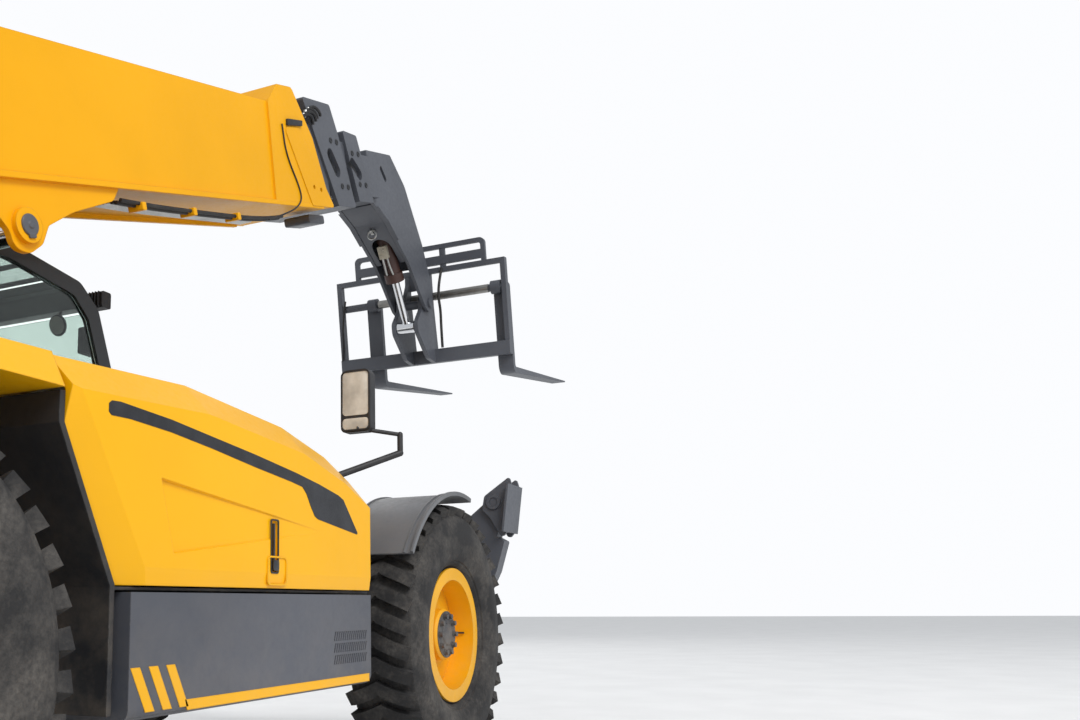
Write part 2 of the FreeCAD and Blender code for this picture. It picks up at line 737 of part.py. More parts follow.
def barrel(length, radius, bore, mouth_bore, base_eye, base_half, hole):
    """Cylinder body along +X from its base eye, open at the rod's end."""
    body = bar((base_eye * 0.6, 0, 0), (length, 0, 0), radius)
    body = joined(body, bar((length - 70, 0, 0), (length, 0, 0), radius + 12), cross_pin((0, 0), base_half, base_eye))
    body = body.cut(bar((base_eye + 40, 0, 0), (length - 60, 0, 0), bore))
    body = body.cut(bar((length - 61, 0, 0), (length + 1, 0, 0), mouth_bore))
    return body.cut(cross_pin((0, 0), base_half + 1, hole))


def piston_rod(rest_length, rod_length, radius, eye_radius, eye_half):
    shaft = bar((rest_length - rod_length, 0, 0), (rest_length, 0, 0), radius)
    return joined(shaft, cross_pin((rest_length, 0), eye_half, eye_radius))


def placed_cylinder(shape, base, eye):
    angle, _ = cylinder_axis(base, eye)
    out = turned(shape, angle, (0, 0))
    out.translate(V(base[0], 0, base[1]))
    return out


def carriage_frame():
    """Rails, shaft, load guard and the two bent plates that hang the carriage on its pin."""
    half = carriage_half
    bottom = block(145, 225, -half, half, rail_low, rail_high)
    posts = [block(155, 215, -half, -half + post_width, rail_low, top_rail[1]),
             block(155, 215, half - post_width, half, rail_low, top_rail[1])]
    top = block(155, 190, -half, half, *top_rail)
    shaft = bar((shaft_u, -half, shaft_w), (shaft_u, half, shaft_w), shaft_radius)
    guard_low = top_rail[1] - 4
    inner = guard_corner - guard_bar / 2
    guard = front_plate([(guard_right, guard_low), (guard_right, guard_top, guard_corner),
                         (guard_left, guard_top, guard_corner), (guard_left, guard_low)], 155, 190)
    for low, high in ((guard_low - 5, 335), (405, guard_top - guard_bar)):
        corner = (inner,) if high > 400 else ()
        guard = guard.cut(front_plate([(guard_right + guard_bar, low), (guard_right + guard_bar, high) + corner,
                                       (guard_left - guard_bar, high) + corner, (guard_left - guard_bar, low)], 150, 195))
    lugs = []
    for y in (-115, 80):
        lugs.append(side_plate(carriage_lug, y, y + 35))
    middle = block(158, 190, -115, 115, 150, 290)
    pin = cross_pin((0, 0), head_half + 18, head_pin_radius)
    return on_carriage(joined(bottom, *posts, top, shaft, guard, *lugs, middle, pin))


def fork(y_low):
    y0, y1 = y_low, y_low + fork_width
    u, tip_u = shank_u, shank_u + fork_length
    front_u = u + fork_thickness
    shank = side_plate([
        (u, fork_heel_w - fork_thickness - 2, 70), (u, shaft_w + 40), (front_u, shaft_w + 20, 20),
        (front_u, fork_heel_w, 24), (tip_u, fork_tip_w), (tip_u, fork_tip_w - fork_tip_thickness)], y0, y1)
    inner_y = y0 if y0 > 0 else y1
    outer_y = inner_y + (sleeve_width if y0 > 0 else -sleeve_width)
    sleeve = bar((shaft_u, inner_y, shaft_w), (shaft_u, outer_y, shaft_w), shaft_radius + 24)
    body = joined(shank, sleeve)
    body = body.cut(bar((shaft_u, y0 - 1, shaft_w), (shaft_u, y1 + 1, shaft_w), shaft_radius + pin_gap))
    return on_carriage(body)


def pod_x(share):
    """Place along the engine pod: 0 at the rear edge and 1 at the front edge."""
    return hood_rear_x - 10 + share * (pod_front_x - hood_rear_x + 10)


def pod_solid(inset):
    """Solid inside the pod's skin, drawn in by an inset."""
    low = pod_bottom_z - (1 if inset else 0)
    wires = []
    for share, side_top, top in pod_sections:
        points = [
            (-body_side_y + inset, low), (-body_side_y + inset, side_top - inset * 0.5),
            (-body_side_y + shoulder_width + inset * 0.5, top - inset), (-pod_inner_y - 20, top + 14 - inset),
            (-pod_inner_y - 20, low),
        ]
        corners = [V(pod_x(share), p[0], p[1]) for p in points]
        wires.append(Part.makePolygon(corners + [corners[0]]))
    return Part.makeLoft(wires, True, True)


def pod_bevel(inset):
    """Wedge that turns the hood's side in toward the wheel arch, behind a raked crease."""
    crease = V(191, 0, -324)
    across = V(-124, 70, -69) * 4
    start = V(hood_rear_x + 297, -body_side_y + inset, 993) + crease * 2
    corners = [start, start + across, start + V(across.x, -80, across.z)]
    return flat_face(*corners).extrude(crease * -6)


def hood():
    inner = pod_solid(sheet)
    inner = inner.fuse(block(hood_rear_x - 110, pod_front_x + 130, -body_side_y + sheet, -pod_inner_y, 800, 1200))
    lid = pod_solid(0.0).cut(pod_bevel(0.0)).cut(inner.cut(pod_bevel(sheet)))
    rear_cut = side_plate([(pod_rear_x, 800), (pod_rear_x, 900), (hood_rear_x, 1350), (hood_rear_x, 1700),
                           (hood_rear_x - 210, 1700), (hood_rear_x - 210, 800)], -1300, 0)
    outside = -body_side_y - 1
    tuck = front_plate([(outside, pod_bottom_z - 1), (-body_side_y + lower_tuck, pod_bottom_z - 1),
                        (outside, pod_bottom_z + lower_band)], hood_rear_x - 20, pod_front_x + 20)
    latch_x, latch_z = latch_place
    width, height = latch_size
    latch = side_plate([(latch_x, latch_z, 20), (latch_x + width, latch_z, 20), (latch_x + width, latch_z + height, 20),
                        (latch_x, latch_z + height, 20)], outside, -body_side_y + latch_depth)
    lid = lid.cut([rear_cut, tuck, latch] + [hood_recess(corners) for corners in hood_recesses])
    knuckles = []
    for share in hood_hinge_shares:
        knuckles.append(hood_knuckle(pod_x(share), pod_x(share) + hinge_length, hood_hinge_y - 70, hood_hinge_z - 50))
    return joined(lid, *knuckles)


def hood_recess(corners):
    """Shallow three-cornered dent, deep along its first edge and fading to its last corner."""
    x_from = hood_rear_x
    surface = [V(x_from + x, -body_side_y - 1, z) for x, z in corners]
    middle = (surface[0] + surface[1] + surface[2]) * (1 / 3)
    floor = []
    for corner, depth in zip(surface, (recess_depth, recess_depth, 0.5)):
        inward = corner + (middle - corner) * 0.05
        floor.append(V(inward.x, -body_side_y + depth, inward.z))
    rings = [Part.makePolygon(ring + [ring[0]]) for ring in (surface, floor)]
    return Part.makeLoft(rings, True, True)


def hood_knuckle(x0, x1, leaf_y, leaf_z):
    """Hinge knuckle along X on the hood's axis, with a leaf down to what carries it."""
    y, z = hood_hinge_y, hood_hinge_z
    barrel_part = bar((x0, y, z), (x1, y, z), hinge_radius)
    leaf = front_plate([(y - 5, z), (y + 5, z), (leaf_y + 6, leaf_z), (leaf_y - 6, leaf_z)], x0, x1)
    return joined(barrel_part, leaf)


def door_knuckle(z0, z1, leaf_x):
    """Hinge knuckle along Z on the door's axis, with a leaf along the outer face."""
    x, y = door_hinge_x, door_hinge_y
    barrel_part = bar((x, y, z0), (x, y, z1), hinge_radius)
    leaf = block(min(x, leaf_x), max(x, leaf_x), cab_outer_y, cab_outer_y + hinge_leaf, z0, z1)
    return joined(barrel_part, leaf)


def pod_bulkhead():
    side_y = -body_side_y + 30
    front = front_plate([(side_y, 900), (side_y, 1250), (side_y + 80, 1370), (-pod_inner_y, 1390),
                         (-pod_inner_y, 900)], pod_front_x + 6, pod_front_x + 24)
    rear_x0 = hood_rear_x - 5
    inner = block(rear_x0, pod_front_x + 24, -pod_inner_y, -pod_inner_y + bulkhead_sheet, 900, 1380)
    rear = side_plate([
        (pod_rear_x - 8, 520), (pod_rear_x - 8, 900), (rear_x0 - 1, 1352), (rear_x0 - 1, 1440), (rear_x0 - 21, 1440),
        (rear_x0 - 21, 1348), (pod_rear_x - 28, 895), (pod_rear_x - 28, 520)], side_y, -pod_inner_y)
    shelf = block(pod_rear_x - 10, pod_front_x + 24, side_y, -frame_outer_y, 884, 894)
    knuckles = []
    y, z = hood_hinge_y, hood_hinge_z
    post_y, wall_y = -pod_inner_y + 72, -pod_inner_y + 18
    for share in hood_hinge_shares:
        start = pod_x(share) + hinge_length + hinge_gap
        post = front_plate([(y, z + 10), (post_y, z + 10), (post_y, 1340), (wall_y, 1340), (wall_y, 1376),
                            (post_y - 14, 1376), (post_y - 14, z - 2), (y, z - 2)], start, start + hinge_length)
        knuckles.append(joined(bar((start, y, z), (start + hinge_length, y, z), hinge_radius), post))
    return joined(front, inner, rear, shelf, *knuckles).cut(arch_space(rear_x))


def rear_quarter(side):
    front_x, end_x = rear_x + 680, tail_x + 35
    body = side_plate([
        (front_x, 1560), (front_x - 800, 1530, 900), (end_x + 170, 1430, 120), (end_x, 1300, 60), (end_x, 900),
        (rear_x - 940, 900), (rear_x - 710, 1350, 90), (rear_x - 610, 1445, 90), (front_x - 20, 1445)],
        pod_inner_y, body_side_y)
    edge = front_plate([(body_side_y + 1, 1600), (body_side_y - shoulder_width, 1600), (body_side_y + 1, 1430)],
                       tail_x - 95, front_x + 100)
    body = body.cut(edge)
    return body if side > 0 else mirrored(body)


def vent_cuts():
    """Rows of leaning slots through the skirt's side."""
    cuts = []
    row = (vent_top_z - vent_low_z) / vent_rows
    pitch = (vent_front_x - vent_rear_x) / vent_slots
    for i in range(vent_rows):
        low = vent_low_z + i * row
        high = low + row * 0.78
        for j in range(vent_slots):
            x = vent_rear_x + j * pitch
            cuts.append(side_plate([(x, low), (x + vent_slot, low), (x + vent_slot + vent_lean, high),
                                    (x + vent_lean, high)], body_side_y - skirt_wall - 5, body_side_y + 5))
    return cuts


def skirt(side):
    """Lower side panel; the left one has a two-tread step let into it."""
    z0, z1 = skirt_low_z, skirt_top_z
    x0, x1 = pod_rear_x + 30, pod_front_x
    inner_y = frame_outer_y + 30
    wall = skirt_wall
    panel = front_plate([(inner_y, z0), (body_side_y, z0, 40), (body_side_y, z1), (inner_y, z1)], x0, x1)
    inside = block(x0 + wall, x1 - wall, frame_inner_y, body_side_y - wall, z0 + wall, z1 + 1)
    body = panel.cut([inside] + vent_cuts())
    if side < 0:
        return mirrored(body)
    y0 = body_side_y - step_depth
    pocket = block(step_rear_x, step_front_x, y0, body_side_y, step_low_z, z1)
    opening = block(step_rear_x + wall, step_front_x - wall, y0 + wall, body_side_y + 5, step_low_z + wall, z1 + 5)
    tread_z = (step_low_z + z1) / 2
    tread = block(step_rear_x + 1, step_front_x - 1, y0 + 1, body_side_y - 5, tread_z, tread_z + step_plate)
    return joined(body.cut(opening), pocket.cut(opening), tread)


def front_fender(side):
    """Curved sheet over the wheel with a rolled lip, carried on a stay from the knuckle."""
    inner, outer = fender_radius, fender_radius + fender_sheet
    y0, y1 = fender_inner_y, fender_outer_y

    def ring(start, end, radius):
        return pipe((0, start, hub_height), (0, end, hub_height), radius, inner)
    sheet_ring = joined(ring(y0, y1, outer), ring(y1 - 12, y1, outer + fender_lip),
                        ring(y1 - 52, y1 - 44, outer + fender_lip / 2), ring(y0, y0 + 8, outer + fender_lip / 2))
    keep = side_plate([(0, hub_height), (-1300, hub_height + 840), (-300, hub_height + 1300),
                       (280, hub_height + 1200)], y0 - 5, y1 + 5)
    stay_y0 = y0 + 4
    stay_y1 = stay_y0 + fender_stay
    pin_top = hub_height + jaw_gap_half + jaw_thickness + kingpin_head
    stay = side_plate([(-fender_stay_half, pin_top), (-fender_stay_half, hub_height + inner + 3),
                       (fender_stay_half, hub_height + inner + 3), (fender_stay_half, pin_top)], stay_y0, stay_y1)
    foot = block(-fender_stay_half, fender_stay_half, kingpin_y - 10, stay_y1, pin_top, pin_top + 18)
    body = joined(sheet_ring.common(keep), stay, foot)
    return body if side > 0 else mirrored(body)


def counterweight():
    """Cast weight: plan outline met by a side outline, with the tow ears on its back."""
    back_x = tail_x - weight_depth
    plan = plan_plate([(back_x, -820, 60), (back_x + 100, -weight_half, 60), (tail_x, -weight_half),
                       (tail_x, weight_half), (back_x + 100, weight_half, 60), (back_x, 820, 60)],
                      weight_low_z, weight_top_z)
    profile = side_plate([(tail_x, weight_low_z), (back_x + 70, weight_low_z, 40), (back_x, weight_low_z + 110, 60),
                          (back_x, weight_top_z - 90, 60), (back_x + 50, weight_top_z, 40), (tail_x, weight_top_z)],
                         -weight_half, weight_half)
    body = plan.common(profile)
    ears = []
    for z in (tow_mid_z - tow_height / 2, tow_mid_z + tow_height / 2 - tow_ear):
        ear = block(tow_x, back_x + 60, -tow_ear_half, tow_ear_half, z, z + tow_ear)
        ears.append(joined(ear, bar((tow_x, 0, z), (tow_x, 0, z + tow_ear), tow_ear_half)))
    hole = bar((tow_x, 0, tow_mid_z - tow_height), (tow_x, 0, tow_mid_z + tow_height), tow_bore_radius)
    return joined(body, *ears).cut(hole)


def cab_frame():
    shell = side_plate(cab_profile, cab_inner_y, cab_outer_y)
    inside = inset_plate(cab_profile, cab_wall, cab_inner_y + cab_wall, cab_outer_y - cab_wall)
    body = shell.cut(inside)
    outer_wall = (cab_outer_y - cab_wall - 5, cab_outer_y + 5)
    y0, y1 = cab_inner_y + cab_wall + window_rebate, cab_outer_y - cab_wall - window_rebate
    holes = [
        side_plate(right_window, cab_inner_y - 5, cab_inner_y + cab_wall + 5),
        side_plate(door_points, *outer_wall), side_plate(rear_left_window, *outer_wall),
        block(-1180, -600, y0, y1, 1240, 2400), block(-1900, -1150, y0, y1, 2440, 2700),
        block(-2500, -2200, y0, y1, 1450, 2420),
    ]
    body = body.cut(holes).cut(arch_space(rear_x))
    bars = [bar((x, cab_inner_y + 5, guard_bars_z), (x, cab_outer_y - 5, guard_bars_z), guard_bar_radius)
            for x in guard_bars_x]
    knuckles = [door_knuckle(z - hinge_length, z - hinge_gap, door_hinge_x - 60) for z in door_hinge_heights]
    return joined(body, *knuckles, *bars)


def cab_door():
    y0, y1 = cab_outer_y - door_thickness, cab_outer_y
    body = inset_plate(door_points, door_gap, y0, y1)
    window = side_plate(door_window, y0 - 5, y1 + 5)
    handle = block(-1960, -1840, y1, y1 + 25, 1140, 1170)
    knuckles = [door_knuckle(z, z + hinge_length, door_hinge_x + 50) for z in door_hinge_heights]
    return joined(body.cut(window), handle, *knuckles)


def cab_glass():
    y0 = cab_inner_y + 18
    right = inset_plate(right_window, glass_gap, y0, y0 + glass)
    a = cab_inner_y + cab_wall + window_rebate + glass_gap
    b = cab_outer_y - cab_wall - window_rebate - glass_gap
    front_low = side_plate([(-742, 1560), (-812, 1300), (-806, 1300), (-736, 1560)], a, b)
    front_high = side_plate([(-742, 1562), (-832, 2056), (-956, 2384), (-950, 2384), (-826, 2058), (-736, 1562)], a, b)
    rear = side_plate([(-2352, 1500), (-2336, 2410), (-2330, 2410), (-2346, 1500)], a, b)
    roof = block(-1898, -1152, a, b, 2530, 2530 + glass)
    y1 = cab_outer_y - glass_inset
    left = inset_plate(rear_left_window, glass_gap, y1, y1 + glass)
    return Part.makeCompound([right, joined(front_low, front_high), rear, roof, left])


def door_glass():
    y1 = cab_outer_y - glass_inset
    return inset_plate(door_window, glass_gap, y1, y1 + glass)


def seat():
    base = block(-2080, -1700, cab_middle_y - 170, cab_middle_y + 170, 1010, 1330)
    cushion = side_plate([(-2120, 1330, 20), (-1620, 1330, 30), (-1620, 1440, 45), (-2120, 1430, 20)],
                         cab_middle_y - 245, cab_middle_y + 245)
    back = side_plate([(-2200, 1400, 20), (-2080, 1400), (-2130, 2120, 30), (-2210, 2110, 30)],
                      cab_middle_y - 235, cab_middle_y + 235)
    return joined(base, cushion, back)


def console():
    """Dash with its top rounded over, steering column and wheel."""
    y = cab_middle_y
    dash = side_plate([(-1010, 1010), (-1240, 1010), (-1230, 1380, 40), (-1010, 1480, 60), (-860, 1400, 40), (-900, 1200)],
                      y - 300, y + 300)
    column = bar((-1180, y, 1380), (-1330, y, 1590), 40)
    hub = V(-1340, y, 1604)
    axis = V(-0.58, 0, 0.81)
    grip = []
    for i in range(6):
        angle = pi * i / 3
        grip.append(hub + V(0, 190 + 16 * cos(angle), 0) + axis * (16 * sin(angle)))
    wheel = flat_face(*grip).revolve(hub, axis, 360)
    spoke = bar((-1320, y, 1575), (-1345, y, 1610), 60)
    bar_across = bar((-1340, y - 185, 1604), (-1340, y + 185, 1604), 12)
    return joined(dash, column, wheel, spoke, bar_across)


def side_tank():
    """Tank behind the left skirt, notched behind the step."""
    y0, y1 = frame_outer_y + 40, body_side_y - 20
    x0, x1 = pod_rear_x + 260, pod_front_x - 70
    body = plan_plate([(x0, y0, 40), (x1, y0, 40), (x1, y1, 40), (x0, y1, 40)], skirt_low_z + tank_gap, skirt_top_z - 6)
    notch = block(step_rear_x - 15, step_front_x + 15, body_side_y - step_depth - 15, y1 + 5, skirt_low_z, skirt_top_z)
    return body.cut(notch)


def mirror_arm():
    low, bend, corner = (-888, -970, 1340), (-800, -970, 1440), (-580, -1190, 1560)
    top, end = (-580, -1190, 1650), (-690, -1010, 1680)
    arm = joined(bar(low, bend, 16), bar(bend, corner, 16), bar(corner, top, 14), bar(top, end, 10),
                 Part.makeSphere(16, V(*bend)), Part.makeSphere(16, V(*corner)), Part.makeSphere(14, V(*top)))
    foot = block(-906, -880, -1010, -930, 1290, 1370)
    case = front_plate([(-1085, 1662, 25), (-925, 1662, 25), (-925, 1970, 35), (-1085, 1970, 35)], -690, -636)
    return joined(arm, foot, case)


def work_lamp():
    """Lamp on a bracket at the cab's front corner."""
    x, y, z = lamp_place
    case = side_plate([(x - 45, z - 45, 12), (x + 25, z - 45, 12), (x + 25, z + 45, 12), (x - 45, z + 45, 12)],
                      y - lamp_depth, y + lamp_depth)
    bracket = side_plate([(x - 120.8, z - 30), (x - 89, z - 55), (x - 30, z - 55), (x - 30, z - 30)], y - 20, y + 20)
    return joined(case, bracket)


def engine():
    return block(pod_x(0.2), pod_front_x - 290, -1010, -520, 905, 1390)


def build():
    nodes = {}
    nodes["chassis_frame"] = chassis_frame()
    nodes["frame_plate_right"] = frame_side_plate(-1)
    nodes["frame_plate_left"] = frame_side_plate(1)
    nodes["drive_line"] = drive_line()
    nodes["engine_block"] = engine()
    nodes["hood"] = hood()
    nodes["pod_bulkhead"] = pod_bulkhead()
    nodes["rear_quarter_right"] = rear_quarter(-1)
    nodes["rear_quarter_left"] = rear_quarter(1)
    nodes["skirt_right"] = skirt(-1)
    nodes["skirt_left"] = skirt(1)
    nodes["side_tank"] = side_tank()
    nodes["counterweight"] = counterweight()
    nodes["cab_frame"] = cab_frame()
    nodes["cab_door"] = cab_door()
    nodes["cab_glass"] = cab_glass()
    nodes["door_glass"] = door_glass()
    nodes["seat"] = seat()
    nodes["console"] = console()
    nodes["mirror"] = mirror_arm()
    nodes["work_lamp"] = work_lamp()
    nodes["front_axle"] = axle(0.0)
    nodes["rear_axle"] = axle(rear_x)
    for end, x in (("front", 0.0), ("rear", rear_x)):
        for word, side in (("right", -1), ("left", 1)):
            place = end + "_" + word
            nodes["knuckle_" + place] = knuckle(x, side)
            nodes["rim_" + place] = rim(x, side)
            nodes["tyre_" + place] = tyre(x, side)
    for word, side in (("right", -1), ("left", 1)):
        nodes["fender_" + word] = front_fender(side)
        nodes["stabiliser_arm_" + word] = stabiliser_arm(side)
        nodes["stabiliser_pad_" + word] = stabiliser_pad(side)
    nodes["boom_outer"] = boom_outer()
    nodes["boom_stage_2"] = boom_stage("stage_2")
    nodes["boom_stage_3"] = boom_stage("stage_3")
    nodes["boom_head"] = boom_head()
    lift_eye = boom_point(lug_s, lug_h)
    foot = (foot_x, foot_z)
    _, lift_length = cylinder_axis(foot, lift_eye)
    nodes["lift_barrel"] = placed_cylinder(
        barrel(lift_barrel_length, lift_barrel_radius, 80, lift_rod_radius + 1, 90, 160, 46), foot, lift_eye)
    nodes["lift_rod"] = placed_cylinder(
        piston_rod(lift_length, lift_rod_length, lift_rod_radius, lift_eye_radius, 265), foot, lift_eye)
    base, eye = boom_point(*tilt_base), boom_point(*tilt_eye)
    _, tilt_length = cylinder_axis(base, eye)
    nodes["tilt_barrel"] = placed_cylinder(
        barrel(tilt_barrel_length, tilt_barrel_radius, 45, tilt_rod_radius + 1, 55, 60, 26), base, eye)
    nodes["tilt_rod"] = placed_cylinder(
        piston_rod(tilt_length, tilt_rod_length, tilt_rod_radius, tilt_eye_radius, 72), base, eye)
    nodes["extend_barrel"] = on_boom(pipe((150, 0, extend_h), (4260, 0, extend_h), 56, 40))
    nodes["extend_rod"] = on_boom(bar((700, 0, extend_h), (4902, 0, extend_h), extend_rod_radius))
    nodes["carriage_frame"] = carriage_frame()
    nodes["fork_left"] = fork(fork_left_y)
    nodes["fork_right"] = fork(fork_right_y)
    return nodes


nodes = build()
box = FreeCAD.BoundBox()
for shape in nodes.values():
    box.add(shape.BoundBox)
shift = V(-(box.XMin + box.XMax) / 2, 0, 0)
os.makedirs("parts", exist_ok=True)
for name, shape in nodes.items():
    shape.translate(shift)
    if not shape.isValid() or shape.Volume <= 0:
        print("CHECK", name, shape.isValid(), shape.Volume)
    shape.exportStep("parts/" + name + ".step")
print("nodes", len(nodes), "shift", round(shift.x, 2), "box", box)
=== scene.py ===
import json
import math

import bmesh
import bpy
from mathutils import Matrix, Vector


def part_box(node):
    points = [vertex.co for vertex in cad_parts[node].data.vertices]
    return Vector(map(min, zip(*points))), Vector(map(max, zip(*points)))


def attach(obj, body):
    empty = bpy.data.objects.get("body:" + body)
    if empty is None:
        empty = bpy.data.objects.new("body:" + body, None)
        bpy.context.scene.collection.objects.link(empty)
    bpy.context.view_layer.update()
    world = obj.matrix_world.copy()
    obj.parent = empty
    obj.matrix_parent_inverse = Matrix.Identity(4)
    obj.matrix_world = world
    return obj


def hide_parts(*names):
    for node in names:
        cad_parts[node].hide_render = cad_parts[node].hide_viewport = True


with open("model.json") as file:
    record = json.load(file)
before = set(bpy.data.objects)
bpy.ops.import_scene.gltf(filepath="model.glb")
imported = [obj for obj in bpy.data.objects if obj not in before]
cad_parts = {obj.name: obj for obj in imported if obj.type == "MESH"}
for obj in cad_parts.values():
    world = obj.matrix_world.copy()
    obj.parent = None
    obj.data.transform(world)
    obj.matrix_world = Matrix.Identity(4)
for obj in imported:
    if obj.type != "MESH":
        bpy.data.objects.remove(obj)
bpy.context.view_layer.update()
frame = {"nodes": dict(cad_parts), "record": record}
print("frame:", len(frame["nodes"]), "nodes")

jointAt = {j["name"]: Vector(j["pos_m"]) for j in frame["record"]["behaviour"]["joints"] if "pos_m" in j}
frontAxle = jointAt["roll_front_right"]
boomPitch = math.radians(17.7)
carriagePitch = math.radians(8.0)


# places: local u, v lie in the face and w points out of it
def sidePlace(y):
    # right-hand side of the machine: u forward from the front axle, v up, w out to the right
    return Matrix(((1, 0, 0, frontAxle.x), (0, 0, -1, y), (0, 1, 0, 0), (0, 0, 0, 1)))


def pitchedPlace(pitch, pin, y):
    # the side place turned up by a pitch, with u and v from a pin
    c, s = math.cos(pitch), math.sin(pitch)
    return Matrix(((c, -s, 0, pin.x), (0, 0, -1, y), (s, c, 0, pin.z), (0, 0, 0, 1)))


def boomPlace(y):
    # u along the raised boom from its pivot, v square to it
    return pitchedPlace(boomPitch, jointAt["boom_lift"], y)


def carriagePlace(y):
    # u and v in the tilted carriage, from the head's pin
    return pitchedPlace(carriagePitch, jointAt["carriage_tilt"], y)


def facePlace(x):
    # looking back at the machine's front: u to the left, v up, w forward
    return Matrix(((0, 0, 1, frontAxle.x + x), (1, 0, 0, 0), (0, 1, 0, 0), (0, 0, 0, 1)))


def backPlace(x):
    # looking forward at a face that points back: u to the right, v up, w back
    return Matrix(((0, 0, -1, frontAxle.x + x), (-1, 0, 0, 0), (0, 1, 0, 0), (0, 0, 0, 1)))


def wheelPlace(hub, side):
    # w out along the wheel's axle
    return Matrix(((-side, 0, 0, hub.x), (0, 0, side, hub.y), (0, 1, 0, hub.z), (0, 0, 0, 1)))


def spotsAt(place, spots):
    return [place @ Vector(spot) for spot in spots]


# mesh helpers
onAxis = 1e-6  # a smaller radius closes a lathed form on its axis
sameSpot = 1e-5  # points closer than this are one


def holderFor(data, name):
    # object in the scene for a mesh, curve, lamp or camera
    holder = bpy.data.objects.new(name, data)
    bpy.context.collection.objects.link(holder)
    return holder


def meshFrom(bm, name):
    bmesh.ops.recalc_face_normals(bm, faces=bm.faces)
    mesh = bpy.data.meshes.new(name)
    bm.to_mesh(mesh)
    bm.free()
    return mesh


def softenEdges(bm, width, segments=2, angle=0.5):
    edges = [e for e in bm.edges if len(e.link_faces) == 2 and e.calc_face_angle(0) > angle]
    if edges and width:
        bmesh.ops.bevel(bm, geom=edges, offset=width, segments=segments, profile=0.6, affect="EDGES",
                        clamp_overlap=True)


def slabMesh(name, outline, low, high, place, edge=0.002):
    # flat outline in u, v made solid between two w values
    bm = bmesh.new()
    base = [bm.verts.new((u, v, low)) for u, v in outline]
    top = [bm.verts.new((u, v, high)) for u, v in outline]
    bm.faces.new(base)
    bm.faces.new(top)
    for i in range(len(outline)):
        k = (i + 1) % len(outline)
        bm.faces.new((base[i], base[k], top[k], top[i]))
    bmesh.ops.recalc_face_normals(bm, faces=bm.faces)
    softenEdges(bm, edge)
    bmesh.ops.transform(bm, matrix=place, verts=bm.verts)
    return meshFrom(bm, name)


def latheMesh(name, profile, place, around=64):
    # profile (radius, w) turned about the w axis; a radius of 0 closes on the axis
    bm = bmesh.new()
    angles = [2 * math.pi * i / around for i in range(around)]
    rings = []
    for radius, w in profile:
        if radius < onAxis:
            rings.append([bm.verts.new((0, 0, w))])
        else:
            rings.append([bm.verts.new((radius * math.cos(a), radius * math.sin(a), w)) for a in angles])
    closed = profile[0][0] > onAxis
    for a, b in zip(rings, rings[1:] + ([rings[0]] if closed else [])):
        for i in range(around):
            k = (i + 1) % around
            corners = [a[i % len(a)], a[k % len(a)], b[k % len(b)], b[i % len(b)]]
            corners = [v for n, v in enumerate(corners) if v not in corners[:n]]
            if len(corners) > 2:
                bm.faces.new(corners)
    bmesh.ops.transform(bm, matrix=place, verts=bm.verts)
    return meshFrom(bm, name)


def tubeMesh(name, points, radius, smooth=True, sides=3):
    # round tube along a line through the points, with closed ends
    curve = bpy.data.curves.new(name, "CURVE")
    curve.dimensions = "3D"
    curve.bevel_depth = radius
    curve.bevel_resolution = sides
    curve.resolution_u = 6
    curve.use_fill_caps = True
    spline = curve.splines.new("NURBS" if smooth else "POLY")
    spline.points.add(len(points) - 1)
    for point, place in zip(spline.points, points):
        point.co = (*place, 1)
    if smooth:
        spline.order_u = 3
        spline.use_endpoint_u = True
    mesh = plainMesh(holderFor(curve, name), name)
    bm = bmesh.new()
    bm.from_mesh(mesh)
    bmesh.ops.remove_doubles(bm, verts=bm.verts, dist=sameSpot)
    bpy.data.meshes.remove(mesh)
    return meshFrom(bm, name)


def plainMesh(holder, name):
    # the holder's result with its modifiers as a mesh; the holder goes
    graph = bpy.context.evaluated_depsgraph_get()
    mesh = bpy.data.meshes.new_from_object(holder.evaluated_get(graph), depsgraph=graph)
    mesh.name = name
    bpy.data.objects.remove(holder)
    return mesh


def joinMeshes(name, meshes):
    bm = bmesh.new()
    for mesh in meshes:
        bm.from_mesh(mesh)
        bpy.data.meshes.remove(mesh)
    mesh = bpy.data.meshes.new(name)
    bm.to_mesh(mesh)
    bm.free()
    return mesh


def mirroredMesh(mesh, name):
    # left-hand copy of a right-hand mesh, its faces turned to point outwards again
    bm = bmesh.new()
    bm.from_mesh(mesh)
    bmesh.ops.scale(bm, vec=(1, -1, 1), verts=bm.verts)
    bmesh.ops.reverse_faces(bm, faces=bm.faces)
    other = bpy.data.meshes.new(name)
    bm.to_mesh(other)
    bm.free()
    return other


def addPiece(name, mesh, body, finish, smoothAngle=35):
    piece = holderFor(mesh, name)
    mesh.materials.clear()
    mesh.materials.append(finish)
    for face in mesh.polygons:
        face.use_smooth = smoothAngle > 0
        face.material_index = 0
    if smoothAngle > 0:
        mesh.set_sharp_from_angle(angle=math.radians(smoothAngle))
    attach(piece, body)
    return piece


# node helpers, for materials and for geometry
def step(tree, kind, links=None, **settings):
    made = tree.nodes.new(kind)
    for key, value in settings.items():
        setattr(made, key, value)
    for key, value in (links or {}).items():
        socket = made.inputs[key]
        if isinstance(value, bpy.types.NodeSocket):
            tree.links.new(value, socket)
        else:
            socket.default_value = value
    return made


def noiseAt(tree, place, scale, detail=3, rough=0.55):
    links = {"Vector": place, "Scale": scale, "Detail": detail, "Roughness": rough}
    return step(tree, "ShaderNodeTexNoise", links).outputs["Fac"]


def ramp(tree, value, low, high, toLow=0.0, toHigh=1.0):
    made = step(tree, "ShaderNodeMapRange", {0: value, 1: low, 2: high, 3: toLow, 4: toHigh}, clamp=True)
    return made.outputs[0]


def times(tree, a, b):
    return step(tree, "ShaderNodeMath", {0: a, 1: b}, operation="MULTIPLY").outputs[0]


